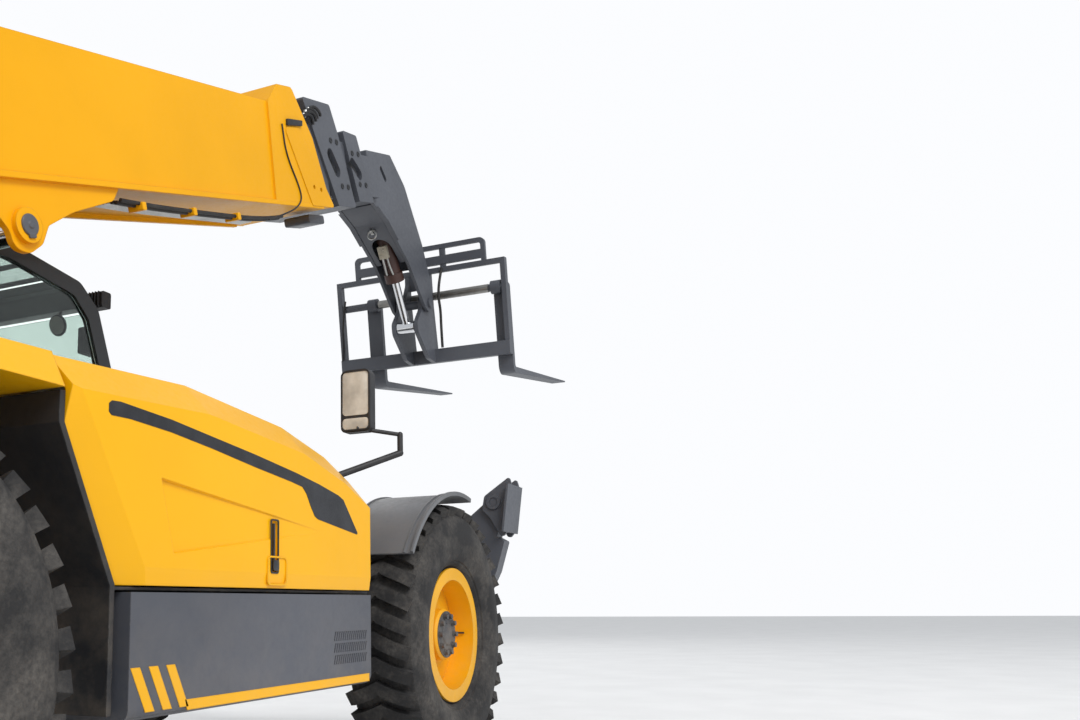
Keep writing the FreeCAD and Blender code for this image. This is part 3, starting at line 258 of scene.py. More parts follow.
def mixColor(tree, share, a, b):
    made = step(tree, "ShaderNodeMix", data_type="RGBA")
    for index, value in ((0, share), (6, a), (7, b)):
        if isinstance(value, bpy.types.NodeSocket):
            tree.links.new(value, made.inputs[index])
        else:
            made.inputs[index].default_value = value if index == 0 else (*value[:3], 1)
    return made.outputs[2]


def startMaterial(name):
    made = bpy.data.materials.new(name)
    made.use_nodes = True
    tree = made.node_tree
    return made, tree, tree.nodes["Principled BSDF"]


def objectPlace(tree):
    return step(tree, "ShaderNodeTexCoord").outputs["Object"]


def addBump(tree, shader, height, strength, distance, **links):
    links = {"Height": height, "Strength": strength, "Distance": distance, **links}
    tree.links.new(step(tree, "ShaderNodeBump", links).outputs[0], shader.inputs["Normal"])


sandDust = (0.42, 0.34, 0.25)
tyreDust = (0.30, 0.27, 0.235)
bareSteel = (0.30, 0.29, 0.27)
# scales of the noise patterns, per metre, and the width of the worn edges
paintPattern = {"broad": 1.3, "fine": 38, "film": 5.5, "peel": 210, "wornEdge": 0.006, "dustFoot": 0.1}
rubberPattern = {"broad": 4.5, "fine": 60}
metalPattern = {"broad": 6, "fine": 90}
plasticPattern = {"broad": 9, "fine": 320}
glassSmear = 7
clothWeave = 210


def paintMaterial(name, color, rough, coat=0.0, dust=0.35, dustTop=1.1, fade=0.12, wear=0.4, peel=0.02,
                  shine=0.5):
    # paint with cloudy fading, bare worn edges and a film of dust that thickens towards the ground
    made, tree, shader = startMaterial(name)
    place = objectPlace(tree)
    broad = noiseAt(tree, place, paintPattern["broad"], 4)
    fine = noiseAt(tree, place, paintPattern["fine"], 5, 0.65)
    pale = [min(1, c * (1 + fade) + fade * 0.03) for c in color]
    deep = [c * (1 - fade) for c in color]
    body = mixColor(tree, ramp(tree, broad, 0.35, 0.65), deep, pale)
    edge = step(tree, "ShaderNodeBevel", {"Radius": paintPattern["wornEdge"]}, samples=3).outputs[0]
    flat = step(tree, "ShaderNodeNewGeometry").outputs["True Normal"]
    turn = step(tree, "ShaderNodeVectorMath", {0: edge, 1: flat}, operation="DOT_PRODUCT").outputs["Value"]
    rub = times(tree, ramp(tree, turn, 0.97, 0.80), ramp(tree, fine, 0.52, 0.66, 0, wear))
    body = mixColor(tree, rub, body, bareSteel)
    height = step(tree, "ShaderNodeSeparateXYZ", {0: place}).outputs["Z"]
    low = ramp(tree, height, dustTop, paintPattern["dustFoot"])
    film = noiseAt(tree, place, paintPattern["film"], 6, 0.7)
    body = mixColor(tree, times(tree, low, ramp(tree, film, 0.38, 0.72, 0, dust)), body, sandDust)
    tree.links.new(body, shader.inputs["Base Color"])
    tree.links.new(ramp(tree, fine, 0.3, 0.75, rough * 0.85, rough * 1.3), shader.inputs["Roughness"])
    shader.inputs["Coat Weight"].default_value = coat
    shader.inputs["Specular IOR Level"].default_value = shine
    shader.inputs["Coat Roughness"].default_value = 0.08
    addBump(tree, shader, noiseAt(tree, place, paintPattern["peel"], 2), peel, 0.01, Normal=edge)
    return made


def rubberMaterial(name, color, dust, rough=0.82):
    made, tree, shader = startMaterial(name)
    place = objectPlace(tree)
    broad = noiseAt(tree, place, rubberPattern["broad"], 6, 0.7)
    fine = noiseAt(tree, place, rubberPattern["fine"], 5, 0.7)
    body = mixColor(tree, ramp(tree, fine, 0.35, 0.7), [c * 0.8 for c in color], [c * 1.35 for c in color])
    film = times(tree, ramp(tree, broad, 0.40, 0.68), ramp(tree, fine, 0.3, 0.62, 0.3 * dust, dust))
    tree.links.new(mixColor(tree, film, body, tyreDust), shader.inputs["Base Color"])
    tree.links.new(ramp(tree, fine, 0.3, 0.7, rough - 0.1, rough + 0.1), shader.inputs["Roughness"])
    shader.inputs["Specular IOR Level"].default_value = 0.35
    addBump(tree, shader, fine, 0.25, 0.004)
    return made


def metalMaterial(name, color, rough, stain=0.15, grain=metalPattern["fine"]):
    made, tree, shader = startMaterial(name)
    place = objectPlace(tree)
    fine = noiseAt(tree, place, grain, 4, 0.6)
    broad = noiseAt(tree, place, metalPattern["broad"], 4)
    body = mixColor(tree, ramp(tree, broad, 0.4, 0.7, 0, stain), color, [c * 0.45 for c in color])
    tree.links.new(body, shader.inputs["Base Color"])
    shader.inputs["Metallic"].default_value = 1.0
    tree.links.new(ramp(tree, fine, 0.3, 0.7, rough * 0.7, rough * 1.4), shader.inputs["Roughness"])
    addBump(tree, shader, fine, 0.04, 0.002)
    return made


def glassMaterial(name, color, rough=0.02, through=1.0):
    made, tree, shader = startMaterial(name)
    smear = noiseAt(tree, objectPlace(tree), glassSmear, 5, 0.7)
    body = mixColor(tree, ramp(tree, smear, 0.4, 0.8, 0, 0.25), color, [c * 0.8 for c in color])
    tree.links.new(body, shader.inputs["Base Color"])
    tree.links.new(ramp(tree, smear, 0.4, 0.8, rough, rough + 0.05), shader.inputs["Roughness"])
    shader.inputs["Transmission Weight"].default_value = through
    shader.inputs["IOR"].default_value = 1.45
    return made


def plasticMaterial(name, color, rough=0.5, grain=0.15):
    made, tree, shader = startMaterial(name)
    place = objectPlace(tree)
    fine = noiseAt(tree, place, plasticPattern["fine"], 3, 0.6)
    broad = noiseAt(tree, place, plasticPattern["broad"], 4)
    body = mixColor(tree, ramp(tree, broad, 0.4, 0.7), color, [c * 1.5 + 0.01 for c in color])
    tree.links.new(body, shader.inputs["Base Color"])
    tree.links.new(ramp(tree, fine, 0.3, 0.7, rough - 0.08, rough + 0.12), shader.inputs["Roughness"])
    addBump(tree, shader, fine, grain, 0.002)
    return made


def clothMaterial(name, color):
    # plain weave: two crossed waves
    made, tree, shader = startMaterial(name)
    links = {"Vector": objectPlace(tree), "Scale": clothWeave, "Distortion": 0.6, "Detail": 1}
    weave = times(tree, *[step(tree, "ShaderNodeTexWave", links, bands_direction=axis).outputs["Fac"]
                          for axis in ("X", "Y")])
    body = mixColor(tree, ramp(tree, weave, 0.1, 0.8), [c * 0.6 for c in color], [c * 1.5 for c in color])
    tree.links.new(body, shader.inputs["Base Color"])
    shader.inputs["Roughness"].default_value = 0.9
    shader.inputs["Sheen Weight"].default_value = 0.3
    addBump(tree, shader, weave, 0.4, 0.002)
    return made


hoodYellow = paintMaterial("hoodYellow", (0.92, 0.455, 0.0), 0.34, coat=0.12, dust=0.16, fade=0.03, wear=0.1,
                           shine=0.25)
boomYellow = paintMaterial("boomYellow", (0.84, 0.395, 0.0), 0.42, coat=0.04, dust=0.0, fade=0.04, wear=0.35,
                           shine=0.2)
rimYellow = paintMaterial("rimYellow", (0.84, 0.41, 0.0), 0.40, coat=0.06, dust=0.22, dustTop=1.3, wear=0.4,
                          shine=0.3)
machineGrey = paintMaterial("machineGrey", (0.082, 0.088, 0.104), 0.42, dust=0.10, dustTop=1.3, wear=0.5)
skirtGrey = paintMaterial("skirtGrey", (0.078, 0.084, 0.102), 0.40, dust=0.22, dustTop=1.0, wear=0.3)
fenderGrey = paintMaterial("fenderGrey", (0.13, 0.135, 0.145), 0.40, dust=0.25, dustTop=1.8, wear=0.5)
frameBlack = paintMaterial("frameBlack", (0.018, 0.019, 0.022), 0.5, dust=0.35, dustTop=1.5, wear=0.3)
cabBlack = paintMaterial("cabBlack", (0.014, 0.015, 0.017), 0.35, coat=0.3, dust=0.15, dustTop=1.4, wear=0.2)
axleGrey = paintMaterial("axleGrey", (0.06, 0.062, 0.066), 0.6, dust=0.8, dustTop=1.2, wear=0.3, peel=0.12)
oxideBrown = paintMaterial("oxideBrown", (0.060, 0.026, 0.020), 0.5, dust=0.0, wear=0.5)
hubGrey = paintMaterial("hubGrey", (0.055, 0.057, 0.063), 0.5, dust=0.5, dustTop=1.3, wear=0.5)
valveBeige = paintMaterial("valveBeige", (0.42, 0.38, 0.30), 0.5, dust=0.0, wear=0.3)
rodChrome = metalMaterial("rodChrome", (0.80, 0.81, 0.83), 0.10, stain=0.1)
zincSteel = metalMaterial("zincSteel", (0.55, 0.55, 0.53), 0.35, stain=0.5)
latchSteel = metalMaterial("latchSteel", (0.10, 0.10, 0.105), 0.35, stain=0.5)
greasedSteel = metalMaterial("greasedSteel", (0.35, 0.34, 0.32), 0.40, stain=0.7, grain=30)
tyreRubber = rubberMaterial("tyreRubber", (0.024, 0.0235, 0.024), 0.34)
hoseRubber = rubberMaterial("hoseRubber", (0.018, 0.018, 0.019), 0.15, rough=0.55)
cabGlass = glassMaterial("cabGlass", (0.50, 0.57, 0.54))
lampClear = glassMaterial("lampClear", (0.92, 0.93, 0.95), 0.12, 0.85)
lampAmber = glassMaterial("lampAmber", (0.95, 0.38, 0.03), 0.15, 0.5)
lampRed = glassMaterial("lampRed", (0.75, 0.03, 0.02), 0.15, 0.5)
# mirror faces: a flat pale beige colour on a non-metal, a painted reflection in place of a real mirror
mirrorPaintedReflection = plasticMaterial("mirrorPaintedReflection", (0.50, 0.48, 0.43), 0.12, 0.0)
blackPlastic = plasticMaterial("blackPlastic", (0.018, 0.018, 0.020))
stripeBlack = plasticMaterial("stripeBlack", (0.012, 0.013, 0.017), 0.4, 0.03)
seatCloth = clothMaterial("seatCloth", (0.035, 0.036, 0.040))
print("materials:", len(bpy.data.materials))

# finishes of the CAD nodes
nodeFinish = {
    "hood": hoodYellow, "rear_quarter_right": hoodYellow, "rear_quarter_left": hoodYellow,
    "boom_outer": boomYellow, "boom_stage_2": machineGrey, "boom_stage_3": machineGrey,
    "boom_head": machineGrey, "carriage_frame": machineGrey,
    "fork_left": machineGrey, "fork_right": machineGrey,
    "fender_left": fenderGrey, "fender_right": fenderGrey, "skirt_left": skirtGrey, "skirt_right": skirtGrey,
    "stabiliser_arm_left": machineGrey, "stabiliser_arm_right": machineGrey,
    "stabiliser_pad_left": machineGrey, "stabiliser_pad_right": machineGrey,
    "cab_frame": cabBlack, "cab_door": cabBlack, "cab_glass": cabGlass, "door_glass": cabGlass,
    "seat": blackPlastic, "console": blackPlastic, "mirror": blackPlastic,
    "lift_rod": rodChrome, "tilt_rod": rodChrome, "extend_rod": rodChrome, "extend_barrel": greasedSteel,
    "lift_barrel": frameBlack, "tilt_barrel": oxideBrown, "front_axle": axleGrey, "rear_axle": axleGrey,
    "drive_line": axleGrey, "work_lamp": blackPlastic,
}
wheelFinish = {"rim": rimYellow, "tyre": tyreRubber, "knuckle": axleGrey}  # by the first word of the name
for name, node in frame["nodes"].items():
    finish = nodeFinish.get(name) or wheelFinish.get(name.split("_")[0], frameBlack)
    node.data.materials.clear()
    node.data.materials.append(finish)


# geometry trees
def startTree(name, sizes):
    tree = bpy.data.node_groups.new(name, "GeometryNodeTree")
    tree.interface.new_socket("Geometry", in_out="INPUT", socket_type="NodeSocketGeometry")
    tree.interface.new_socket("Geometry", in_out="OUTPUT", socket_type="NodeSocketGeometry")
    kinds = {int: "NodeSocketInt", float: "NodeSocketFloat", tuple: "NodeSocketVector"}
    for label, value in sizes.items():
        socket = tree.interface.new_socket(label, in_out="INPUT", socket_type=kinds[type(value)])
        socket.default_value = value
    tree.interface.new_socket("Finish", in_out="INPUT", socket_type="NodeSocketMaterial")
    return tree, tree.nodes.new("NodeGroupInput").outputs, tree.nodes.new("NodeGroupOutput")


def endTree(tree, start, end, geometry):
    real = step(tree, "GeometryNodeRealizeInstances", {0: geometry}).outputs[0]
    painted = step(tree, "GeometryNodeSetMaterial", {"Geometry": real, "Material": start["Finish"]})
    tree.links.new(painted.outputs[0], end.inputs[0])


def runTree(tree, name, finish, points=((0, 0, 0),), **sizes):
    # the tree's result on the points as a plain mesh; sizes are named like the sockets, in camelCase
    seedMesh = bpy.data.meshes.new(name)
    seedMesh.from_pydata([tuple(p) for p in points], [], [])
    holder = holderFor(seedMesh, name)
    modifier = holder.modifiers.new("tree", "NODES")
    modifier.node_group = tree
    wanted = {label.replace(" ", "").lower(): value for label, value in sizes.items()}
    for item in tree.interface.items_tree:
        if item.in_out != "INPUT" or item.name == "Geometry":
            continue
        key = item.name.replace(" ", "").lower()
        if item.name == "Finish":
            modifier[item.identifier] = finish
        elif key in wanted:
            modifier[item.identifier] = wanted[key]
    return plainMesh(holder, name)


def boltTree():
    # hex head on a washer at each given point, turned to face one way
    tree, start, end = startTree("boltHeads", {
        "Head radius": 0.012, "Head height": 0.008, "Washer radius": 0.016, "Washer height": 0.003,
        "Facing": (0.0, -1.0, 0.0)})
    parts = []
    for sides, radius, height, under in ((6, "Head radius", "Head height", "Washer height"),
                                         (14, "Washer radius", "Washer height", None)):
        form = {"Vertices": sides, "Radius": start[radius], "Depth": start[height]}
        body = step(tree, "GeometryNodeMeshCylinder", form).outputs["Mesh"]
        lift = times(tree, start[height], 0.5)
        if under:
            lift = step(tree, "ShaderNodeMath", {0: lift, 1: start[under]}, operation="ADD").outputs[0]
        offset = step(tree, "ShaderNodeCombineXYZ", {"Z": lift}).outputs[0]
        moved = step(tree, "GeometryNodeTransform", {"Geometry": body, "Translation": offset})
        parts.append(moved.outputs[0])
    bolt = step(tree, "GeometryNodeJoinGeometry")
    for part in parts:
        tree.links.new(part, bolt.inputs[0])
    turn = step(tree, "FunctionNodeAlignRotationToVector", {"Vector": start["Facing"]}, axis="Z").outputs[0]
    links = {"Points": start["Geometry"], "Instance": bolt.outputs[0], "Rotation": turn}
    endTree(tree, start, end, step(tree, "GeometryNodeInstanceOnPoints", links).outputs[0])
    return tree


barShape = {"spots": 13, "sweepPower": 0.8, "dropPower": 5.0, "footShare": 1.25}


def lugTree():
    # chevron tread bars round a tyre: the bar's middle is at the top, both arms sweep back
    tree, start, end = startTree("treadBars", {
        "Bars": 36, "Half width": 0.164, "Sweep": 0.070, "Crown radius": 0.648, "Shoulder drop": 0.024,
        "Bar width": 0.052, "Bar height": 0.060})

    def math2(operation, a, b):
        return step(tree, "ShaderNodeMath", {0: a, 1: b}, operation=operation).outputs[0]

    spots = {"Count": barShape["spots"], "Start Location": (0, 0, 0), "Offset": (0, 1, 0)}
    line = step(tree, "GeometryNodeMeshLine", spots, mode="OFFSET").outputs[0]
    index = step(tree, "GeometryNodeInputIndex").outputs[0]
    share = math2("SUBTRACT", math2("DIVIDE", index, (barShape["spots"] - 1) / 2), 1.0)  # -1 to 1 across
    across = math2("MULTIPLY", share, start["Half width"])
    away = math2("ABSOLUTE", share, 0.0)
    back = math2("MULTIPLY", math2("POWER", away, barShape["sweepPower"]),
                 math2("MULTIPLY", start["Sweep"], -1.0))
    drop = math2("MULTIPLY", math2("POWER", away, barShape["dropPower"]), start["Shoulder drop"])
    height = math2("SUBTRACT", start["Crown radius"], drop)
    spot = step(tree, "ShaderNodeCombineXYZ", {"X": back, "Y": across, "Z": height}).outputs[0]
    bent = step(tree, "GeometryNodeSetPosition", {"Geometry": line, "Position": spot}).outputs[0]
    path = step(tree, "GeometryNodeMeshToCurve", {"Mesh": bent}).outputs[0]
    path = step(tree, "GeometryNodeSetCurveNormal", {"Curve": path}, mode="Z_UP").outputs[0]
    section = step(tree, "GeometryNodeCurvePrimitiveQuadrilateral", {
        "Bottom Width": math2("MULTIPLY", start["Bar width"], barShape["footShare"]),
        "Top Width": start["Bar width"], "Height": start["Bar height"], "Offset": 0.0},
        mode="TRAPEZOID").outputs[0]
    swept = {"Curve": path, "Profile Curve": section, "Fill Caps": True}
    bar = step(tree, "GeometryNodeCurveToMesh", swept).outputs[0]
    dots = step(tree, "GeometryNodePoints", {"Count": start["Bars"]}).outputs[0]
    angle = math2("DIVIDE", math2("MULTIPLY", index, 2 * math.pi), start["Bars"])
    turn = step(tree, "ShaderNodeCombineXYZ", {"Y": angle}).outputs[0]
    links = {"Points": dots, "Instance": bar, "Rotation": turn}
    endTree(tree, start, end, step(tree, "GeometryNodeInstanceOnPoints", links).outputs[0])
    return tree


boltHeads = boltTree()
treadBars = lugTree()

# wheels: moulded tyre with tread bars, grey hub cover with its nuts, valve
wheelSizes = {
    "around": 108, "bars": 36,
    "sidewall": [(0.306, 0.112), (0.350, 0.120), (0.356, 0.132), (0.372, 0.150), (0.380, 0.152),
                 (0.384, 0.160), (0.420, 0.177), (0.470, 0.1845), (0.476, 0.1865), (0.530, 0.1865),
                 (0.536, 0.184), (0.585, 0.178), (0.614, 0.166), (0.632, 0.140), (0.643, 0.090),
                 (0.646, 0.040)],
    "hubAround": 48, "hubFace": 0.095, "hubRadius": 0.120,
    "dust": (0.055, 0.004, 0.010), "dustLip": 0.004, "dustDome": (0.006, 0.003),
    "nutCircle": 0.096, "nuts": 10,
    "nut": {"headRadius": 0.014, "headHeight": 0.016, "washerRadius": 0.017, "washerHeight": 0.004},
    "valve": [(0.262, 0, 0.02), (0.266, 0, 0.06), (0.272, 0, 0.09)], "valveRadius": 0.005,
}


def buildWheel(place, hub, side):
    size = wheelSizes
    hubPlace = wheelPlace(hub, side)
    body = "wheel_" + place
    carcass = [(radius, -w) for radius, w in size["sidewall"]] + size["sidewall"][::-1]
    meshes = [latheMesh("carcass", carcass, hubPlace, size["around"]),
              runTree(treadBars, "bars", tyreRubber, Bars=size["bars"])]
    meshes[1].transform(Matrix.Translation(hub))
    tyre = addPiece("tyre_" + place + "_tread", joinMeshes("tyre", meshes), body, tyreRubber, 30)
    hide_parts("tyre_" + place)
    face, edge = size["hubFace"], size["hubRadius"]
    dustRadius, dustLow, dustHigh = size["dust"]
    domeIn, domeUp = size["dustDome"]
    cover = [(0, face - dustLow), (edge, face - dustLow), (edge, face + dustLow),
             (dustRadius + size["dustLip"], face + dustLow), (dustRadius, face + dustHigh),
             (dustRadius - domeIn, face + dustHigh + domeUp), (0, face + dustHigh + domeUp)]
    hubCover = latheMesh("hubCover", cover, hubPlace, size["hubAround"])
    addPiece("hub_cover_" + place, hubCover, body, hubGrey)
    angles = [2 * math.pi * i / size["nuts"] for i in range(size["nuts"])]
    circle = size["nutCircle"]
    spots = spotsAt(hubPlace, [(circle * math.cos(a), circle * math.sin(a), face + dustLow) for a in angles])
    nuts = runTree(boltHeads, "nuts", hubGrey, spots, facing=(0.0, float(side), 0.0), **size["nut"])
    addPiece("hub_nuts_" + place, nuts, body, hubGrey)
    valve = tubeMesh("valve", spotsAt(hubPlace, size["valve"]), size["valveRadius"])
    addPiece("tyre_valve_" + place, valve, body, blackPlastic)


for endName in ("front", "rear"):
    for sideName, side in (("right", -1), ("left", 1)):
        buildWheel(endName + "_" + sideName, jointAt["roll_" + endName + "_" + sideName], side)
print("wheels done")

# hood: black bent stripe, latch in its slot with the rod above it, and the pressed pocket below
hoodSizes = {
    "stripe": [(-2.650, 1.403), (-2.638, 1.394), (-2.553, 1.396), (-2.355, 1.386), (-2.13, 1.364),
               (-1.873, 1.334), (-1.608, 1.307), (-1.528, 1.296), (-1.497, 1.272), (-1.462, 1.224),
               (-1.430, 1.188), (-1.405, 1.178), (-1.062, 1.137), (-1.056, 1.144), (-1.186, 1.276),
               (-1.231, 1.291), (-1.393, 1.320), (-1.576, 1.346), (-1.873, 1.380), (-2.13, 1.405),
               (-2.355, 1.427), (-2.600, 1.441), (-2.638, 1.438), (-2.650, 1.428)],
    "sunk": -0.001, "stripeOut": 0.0015,
    "slot": (-1.752, -1.708, 0.958, 1.148), "slotRim": 0.006, "slotCorners": (0.010, 0.006), "slotOut": 0.003,
    "rodRadius": 0.006, "rodIn": -0.004, "rodFoot": 0.03, "rodTop": 0.01,
    "gripHalf": 0.020, "gripWay": (0.004, 0.044), "gripCorner": 0.010, "gripDeep": 0.010, "gripEdge": 0.003,
    "pocket": (-1.775, -1.652, 0.915, 1.010), "pocketRim": 0.007, "pocketCorners": (0.020, 0.014),
    "pocketOut": 0.004,
}


def roundedBox(left, right, low, high, radius, corners=4):
    # rounded rectangle as an outline in u, v
    spots = []
    for n, (u, v) in enumerate(((right - radius, low + radius), (right - radius, high - radius),
                                (left + radius, high - radius), (left + radius, low + radius))):
        for i in range(corners + 1):
            angle = math.pi / 2 * (n - 1 + i / corners)
            spots.append((u + radius * math.cos(angle), v + radius * math.sin(angle)))
    return spots


def rimMesh(name, outer, inner, low, high, place):
    # flat ring between two outlines with the same number of corners
    bm = bmesh.new()
    lines = ((outer, low), (outer, high), (inner, high), (inner, low))
    loops = [[bm.verts.new((u, v, w)) for u, v in line] for line, w in lines]
    for a, b in zip(loops, loops[1:] + loops[:1]):
        for i in range(len(a)):
            k = (i + 1) % len(a)
            bm.faces.new((a[i], a[k], b[k], b[i]))
    bmesh.ops.transform(bm, matrix=place, verts=bm.verts)
    return meshFrom(bm, name)


def rimAround(name, edges, rim, corners, out, place):
    # raised rim of a given width round an opening
    left, right, low, high = edges
    outer = roundedBox(left - rim, right + rim, low - rim, high + rim, corners[0])
    return rimMesh(name, outer, roundedBox(left, right, low, high, corners[1]), hoodSizes["sunk"], out, place)


hoodPlace = sidePlace(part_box("hood")[0].y)
stripe = slabMesh("stripe", hoodSizes["stripe"], hoodSizes["sunk"], hoodSizes["stripeOut"], hoodPlace, 0)
addPiece("hood_stripe", stripe, "hood", stripeBlack)
latch = rimAround("latch", hoodSizes["slot"], hoodSizes["slotRim"], hoodSizes["slotCorners"],
                  hoodSizes["slotOut"], hoodPlace)
addPiece("latch_edge", latch, "hood", blackPlastic)
left, right, bottom, top = hoodSizes["slot"]
middle = (left + right) / 2
rodLine = [(middle, bottom + hoodSizes["rodFoot"], hoodSizes["rodIn"]),
           (middle, top - hoodSizes["rodTop"], hoodSizes["rodIn"])]
rod = tubeMesh("rod", spotsAt(hoodPlace, rodLine), hoodSizes["rodRadius"], False)
half, deep = hoodSizes["gripHalf"], hoodSizes["gripDeep"]
low, high = hoodSizes["gripWay"]
gripLine = roundedBox(middle - half, middle + half, bottom + low, bottom + high, hoodSizes["gripCorner"])
grip = slabMesh("grip", gripLine, -deep, deep, hoodPlace, hoodSizes["gripEdge"])
addPiece("hood_latch", joinMeshes("latch", [rod, grip]), "hood", latchSteel)
pocket = rimAround("pocket", hoodSizes["pocket"], hoodSizes["pocketRim"], hoodSizes["pocketCorners"],
                   hoodSizes["pocketOut"], hoodPlace)
addPiece("latch_pocket", pocket, "hood", hoodYellow, 0)

# skirts: yellow hazard bars and the line along the lower edge
skirtSizes = {"rear": -2.525, "front": -0.95, "foot": 0.520, "barTop": 0.655, "bars": 3, "bar": 0.044,
              "pitch": 0.084, "lean": 0.073, "lineLow": 0.508, "lineHigh": 0.542, "lineIn": 0.006,
              "lineLean": 0.012, "sunk": -0.001, "out": 0.0012}


def buildSkirt(sideName):
    size = skirtSizes
    place = sidePlace(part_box("skirt_right")[0].y)
    outlines = []
    for i in range(size["bars"]):
        x = size["rear"] + i * size["pitch"]
        foot = x + size["lean"]
        outlines.append([(foot, size["foot"]), (foot + size["bar"], size["foot"]),
                         (x + size["bar"], size["barTop"]), (x, size["barTop"])])
    x = outlines[-1][1][0] - size["lineIn"]
    outlines.append([(x, size["lineLow"]), (size["front"], size["lineLow"]),
                     (size["front"], size["lineHigh"]), (x - size["lineLean"], size["lineHigh"])])
    bars = joinMeshes("bars", [slabMesh("bar", line, size["sunk"], size["out"], place, 0)
                               for line in outlines])
    if sideName == "left":
        bars = mirroredMesh(bars, "bars")
    addPiece("skirt_bars_" + sideName, bars, "chassis", hoodYellow)


for sideName in ("right", "left"):
    buildSkirt(sideName)
print("body panels done")

# boom: plugs on the sections' plates, bar and cable on the collar, hoses and pipes along the underside with
# their clips, hoses and nuts on section 2, block under the collar, clevis of the extension tube, lug pins
boomSizes = {
    "stage2Half": 0.290, "stage3Half": 0.250,
    "stage2Plugs": [(5.209, 0.149), (5.291, 0.146), (5.287, -0.133), (5.373, -0.133)],
    "stage3Plugs": [(5.592, 0.113), (5.684, 0.115), (5.651, -0.088), (5.745, -0.088)],
    "plug": [(0, 0.002), (0.008, 0.002), (0.010, 0.005), (0.017, 0.005), (0.019, 0.002), (0.019, -0.002),
             (0, -0.002)],
    "collarHalf": 0.332, "bar": [(4.577, 0.195), (4.565, 0.157), (4.744, 0.172), (4.754, 0.205)],
    "barWay": (-0.002, 0.016), "barEdge": 0.003,
    "cable": [(4.515, 0.160), (4.515, 0.142), (4.510, -0.014), (4.632, -0.219), (4.597, -0.291),
              (4.439, -0.347), (4.203, -0.392)],
    "cableRadius": 0.0045, "cableGap": 0.001,
    "run": [(2.99, -0.345), (3.209, -0.360), (3.607, -0.372), (4.196, -0.385), (4.42, -0.36)],
    "hoses": {"first": -0.300, "pitch": 0.026, "count": 3, "radius": 0.009, "lift": 0, "stagger": 0.006},
    "pipes": {"first": -0.222, "pitch": 0.017, "count": 5, "radius": 0.006, "lift": 0.002, "stagger": 0},
    "clips": [3.12, 3.52, 3.92], "clipLength": 0.03, "clipLine": (1.2, -0.333, 0.018),
    "clipHeights": (0.018, 0.020), "clipCorner": 0.006, "clipWay": (0.233, 0.318), "clipEdge": 0.002,
    "fittings": [(4.845, 0.240), (4.880, 0.262), (4.915, 0.286), (4.950, 0.305)],
    "nut": [(0, -0.002), (0.016, -0.002), (0.016, 0.012), (0.012, 0.016), (0, 0.016)],
    "shortHose": [(0.004, 0.012, 0, 0), (0.050, 0.030, 0.004, 0.006), (0.120, 0.022, 0.010, 0),
                  (0.135, -0.020, 0, -0.010)],
    "shortHoseRoot": 0.004, "shortHoseOut": (0.018, 0.006), "shortHoseRadius": 0.0095,
    "footBlock": (4.86, 5.06, -0.372, -0.318), "footBlockCorner": 0.016, "footBlockWay": (0.06, 0.24),
    "footBlockEdge": 0.006,
    "clevis": (4.25, 4.43, 0.300, 0.385), "clevisCorner": 0.035, "cheeks": (-0.072, 0.054), "cheek": 0.018,
    "cheekEdge": 0.003, "clevisPinAt": (4.375, 0.345),
    "clevisPin": [(0, -0.085), (0.018, -0.085), (0.020, -0.082), (0.020, 0.082), (0.018, 0.085), (0, 0.085)],
    "lug": (2.368, -0.480), "lugFace": 0.334,
    "lugPin": [(0, 0.012), (0.012, 0.012), (0.016, 0.008), (0.040, 0.008), (0.044, 0.004), (0.044, -0.004),
               (0, -0.004)],
    "keeper": (-0.018, 0.018, -0.052, -0.032), "keeperCorner": 0.006, "keeperWay": (-0.002, 0.009),
    "keeperEdge": 0.002,
}
flatPlace = boomPlace(0)


def boomLines(name, lane, run):
    # tubes side by side along the boom; every second one may lie lower
    tubes = []
    for i in range(lane["count"]):
        place = boomPlace(lane["first"] + lane["pitch"] * i)
        line = [(u, v + lane["lift"] - lane["stagger"] * (i % 2), 0) for u, v in run]
        tubes.append(tubeMesh(name, spotsAt(place, line), lane["radius"]))
    return joinMeshes(name, tubes)


def atSpot(place, spot):
    return place @ Matrix.Translation((*spot, 0))


for sideName in ("right", "left"):
    for body, key in (("stage_2", "stage2"), ("stage_3", "stage3")):
        place = boomPlace(-boomSizes[key + "Half"])
        key += "Plugs"
        plugs = joinMeshes("plugs", [latheMesh("plug", boomSizes["plug"], atSpot(place, spot), around=20)
                                     for spot in boomSizes[key]])
        if sideName == "left":
            plugs = mirroredMesh(plugs, "plugs")
        addPiece(key + "_" + sideName, plugs, body, frameBlack)
sideBar = slabMesh("bar", boomSizes["bar"], *boomSizes["barWay"], boomPlace(-boomSizes["collarHalf"]),
                   boomSizes["barEdge"])
addPiece("collar_bar", sideBar, "boom", frameBlack)
place = boomPlace(-boomSizes["collarHalf"] - boomSizes["cableRadius"] - boomSizes["cableGap"])
cableLine = spotsAt(place, [(u, v, 0) for u, v in boomSizes["cable"]])
cable = tubeMesh("cable", cableLine, boomSizes["cableRadius"])
addPiece("collar_cable", cable, "boom", hoseRubber)
hoses = boomLines("hose", boomSizes["hoses"], boomSizes["run"])
addPiece("boom_hoses", hoses, "boom", hoseRubber)
pipes = boomLines("pipe", boomSizes["pipes"], boomSizes["run"][:-1])
addPiece("boom_pipes", pipes, "boom", zincSteel)
clips = []
lineStart, lineHeight, lineFall = boomSizes["clipLine"]
below, above = boomSizes["clipHeights"]
for u in boomSizes["clips"]:
    v = lineHeight - lineFall * (u - lineStart)
    outline = roundedBox(u, u + boomSizes["clipLength"], v - below, v + above, boomSizes["clipCorner"])
    clips.append(slabMesh("clip", outline, *boomSizes["clipWay"], flatPlace, boomSizes["clipEdge"]))
addPiece("hose_clips", joinMeshes("clips", clips), "boom", boomYellow)
fittings, nuts = [], []
place = boomPlace(-boomSizes["stage2Half"])
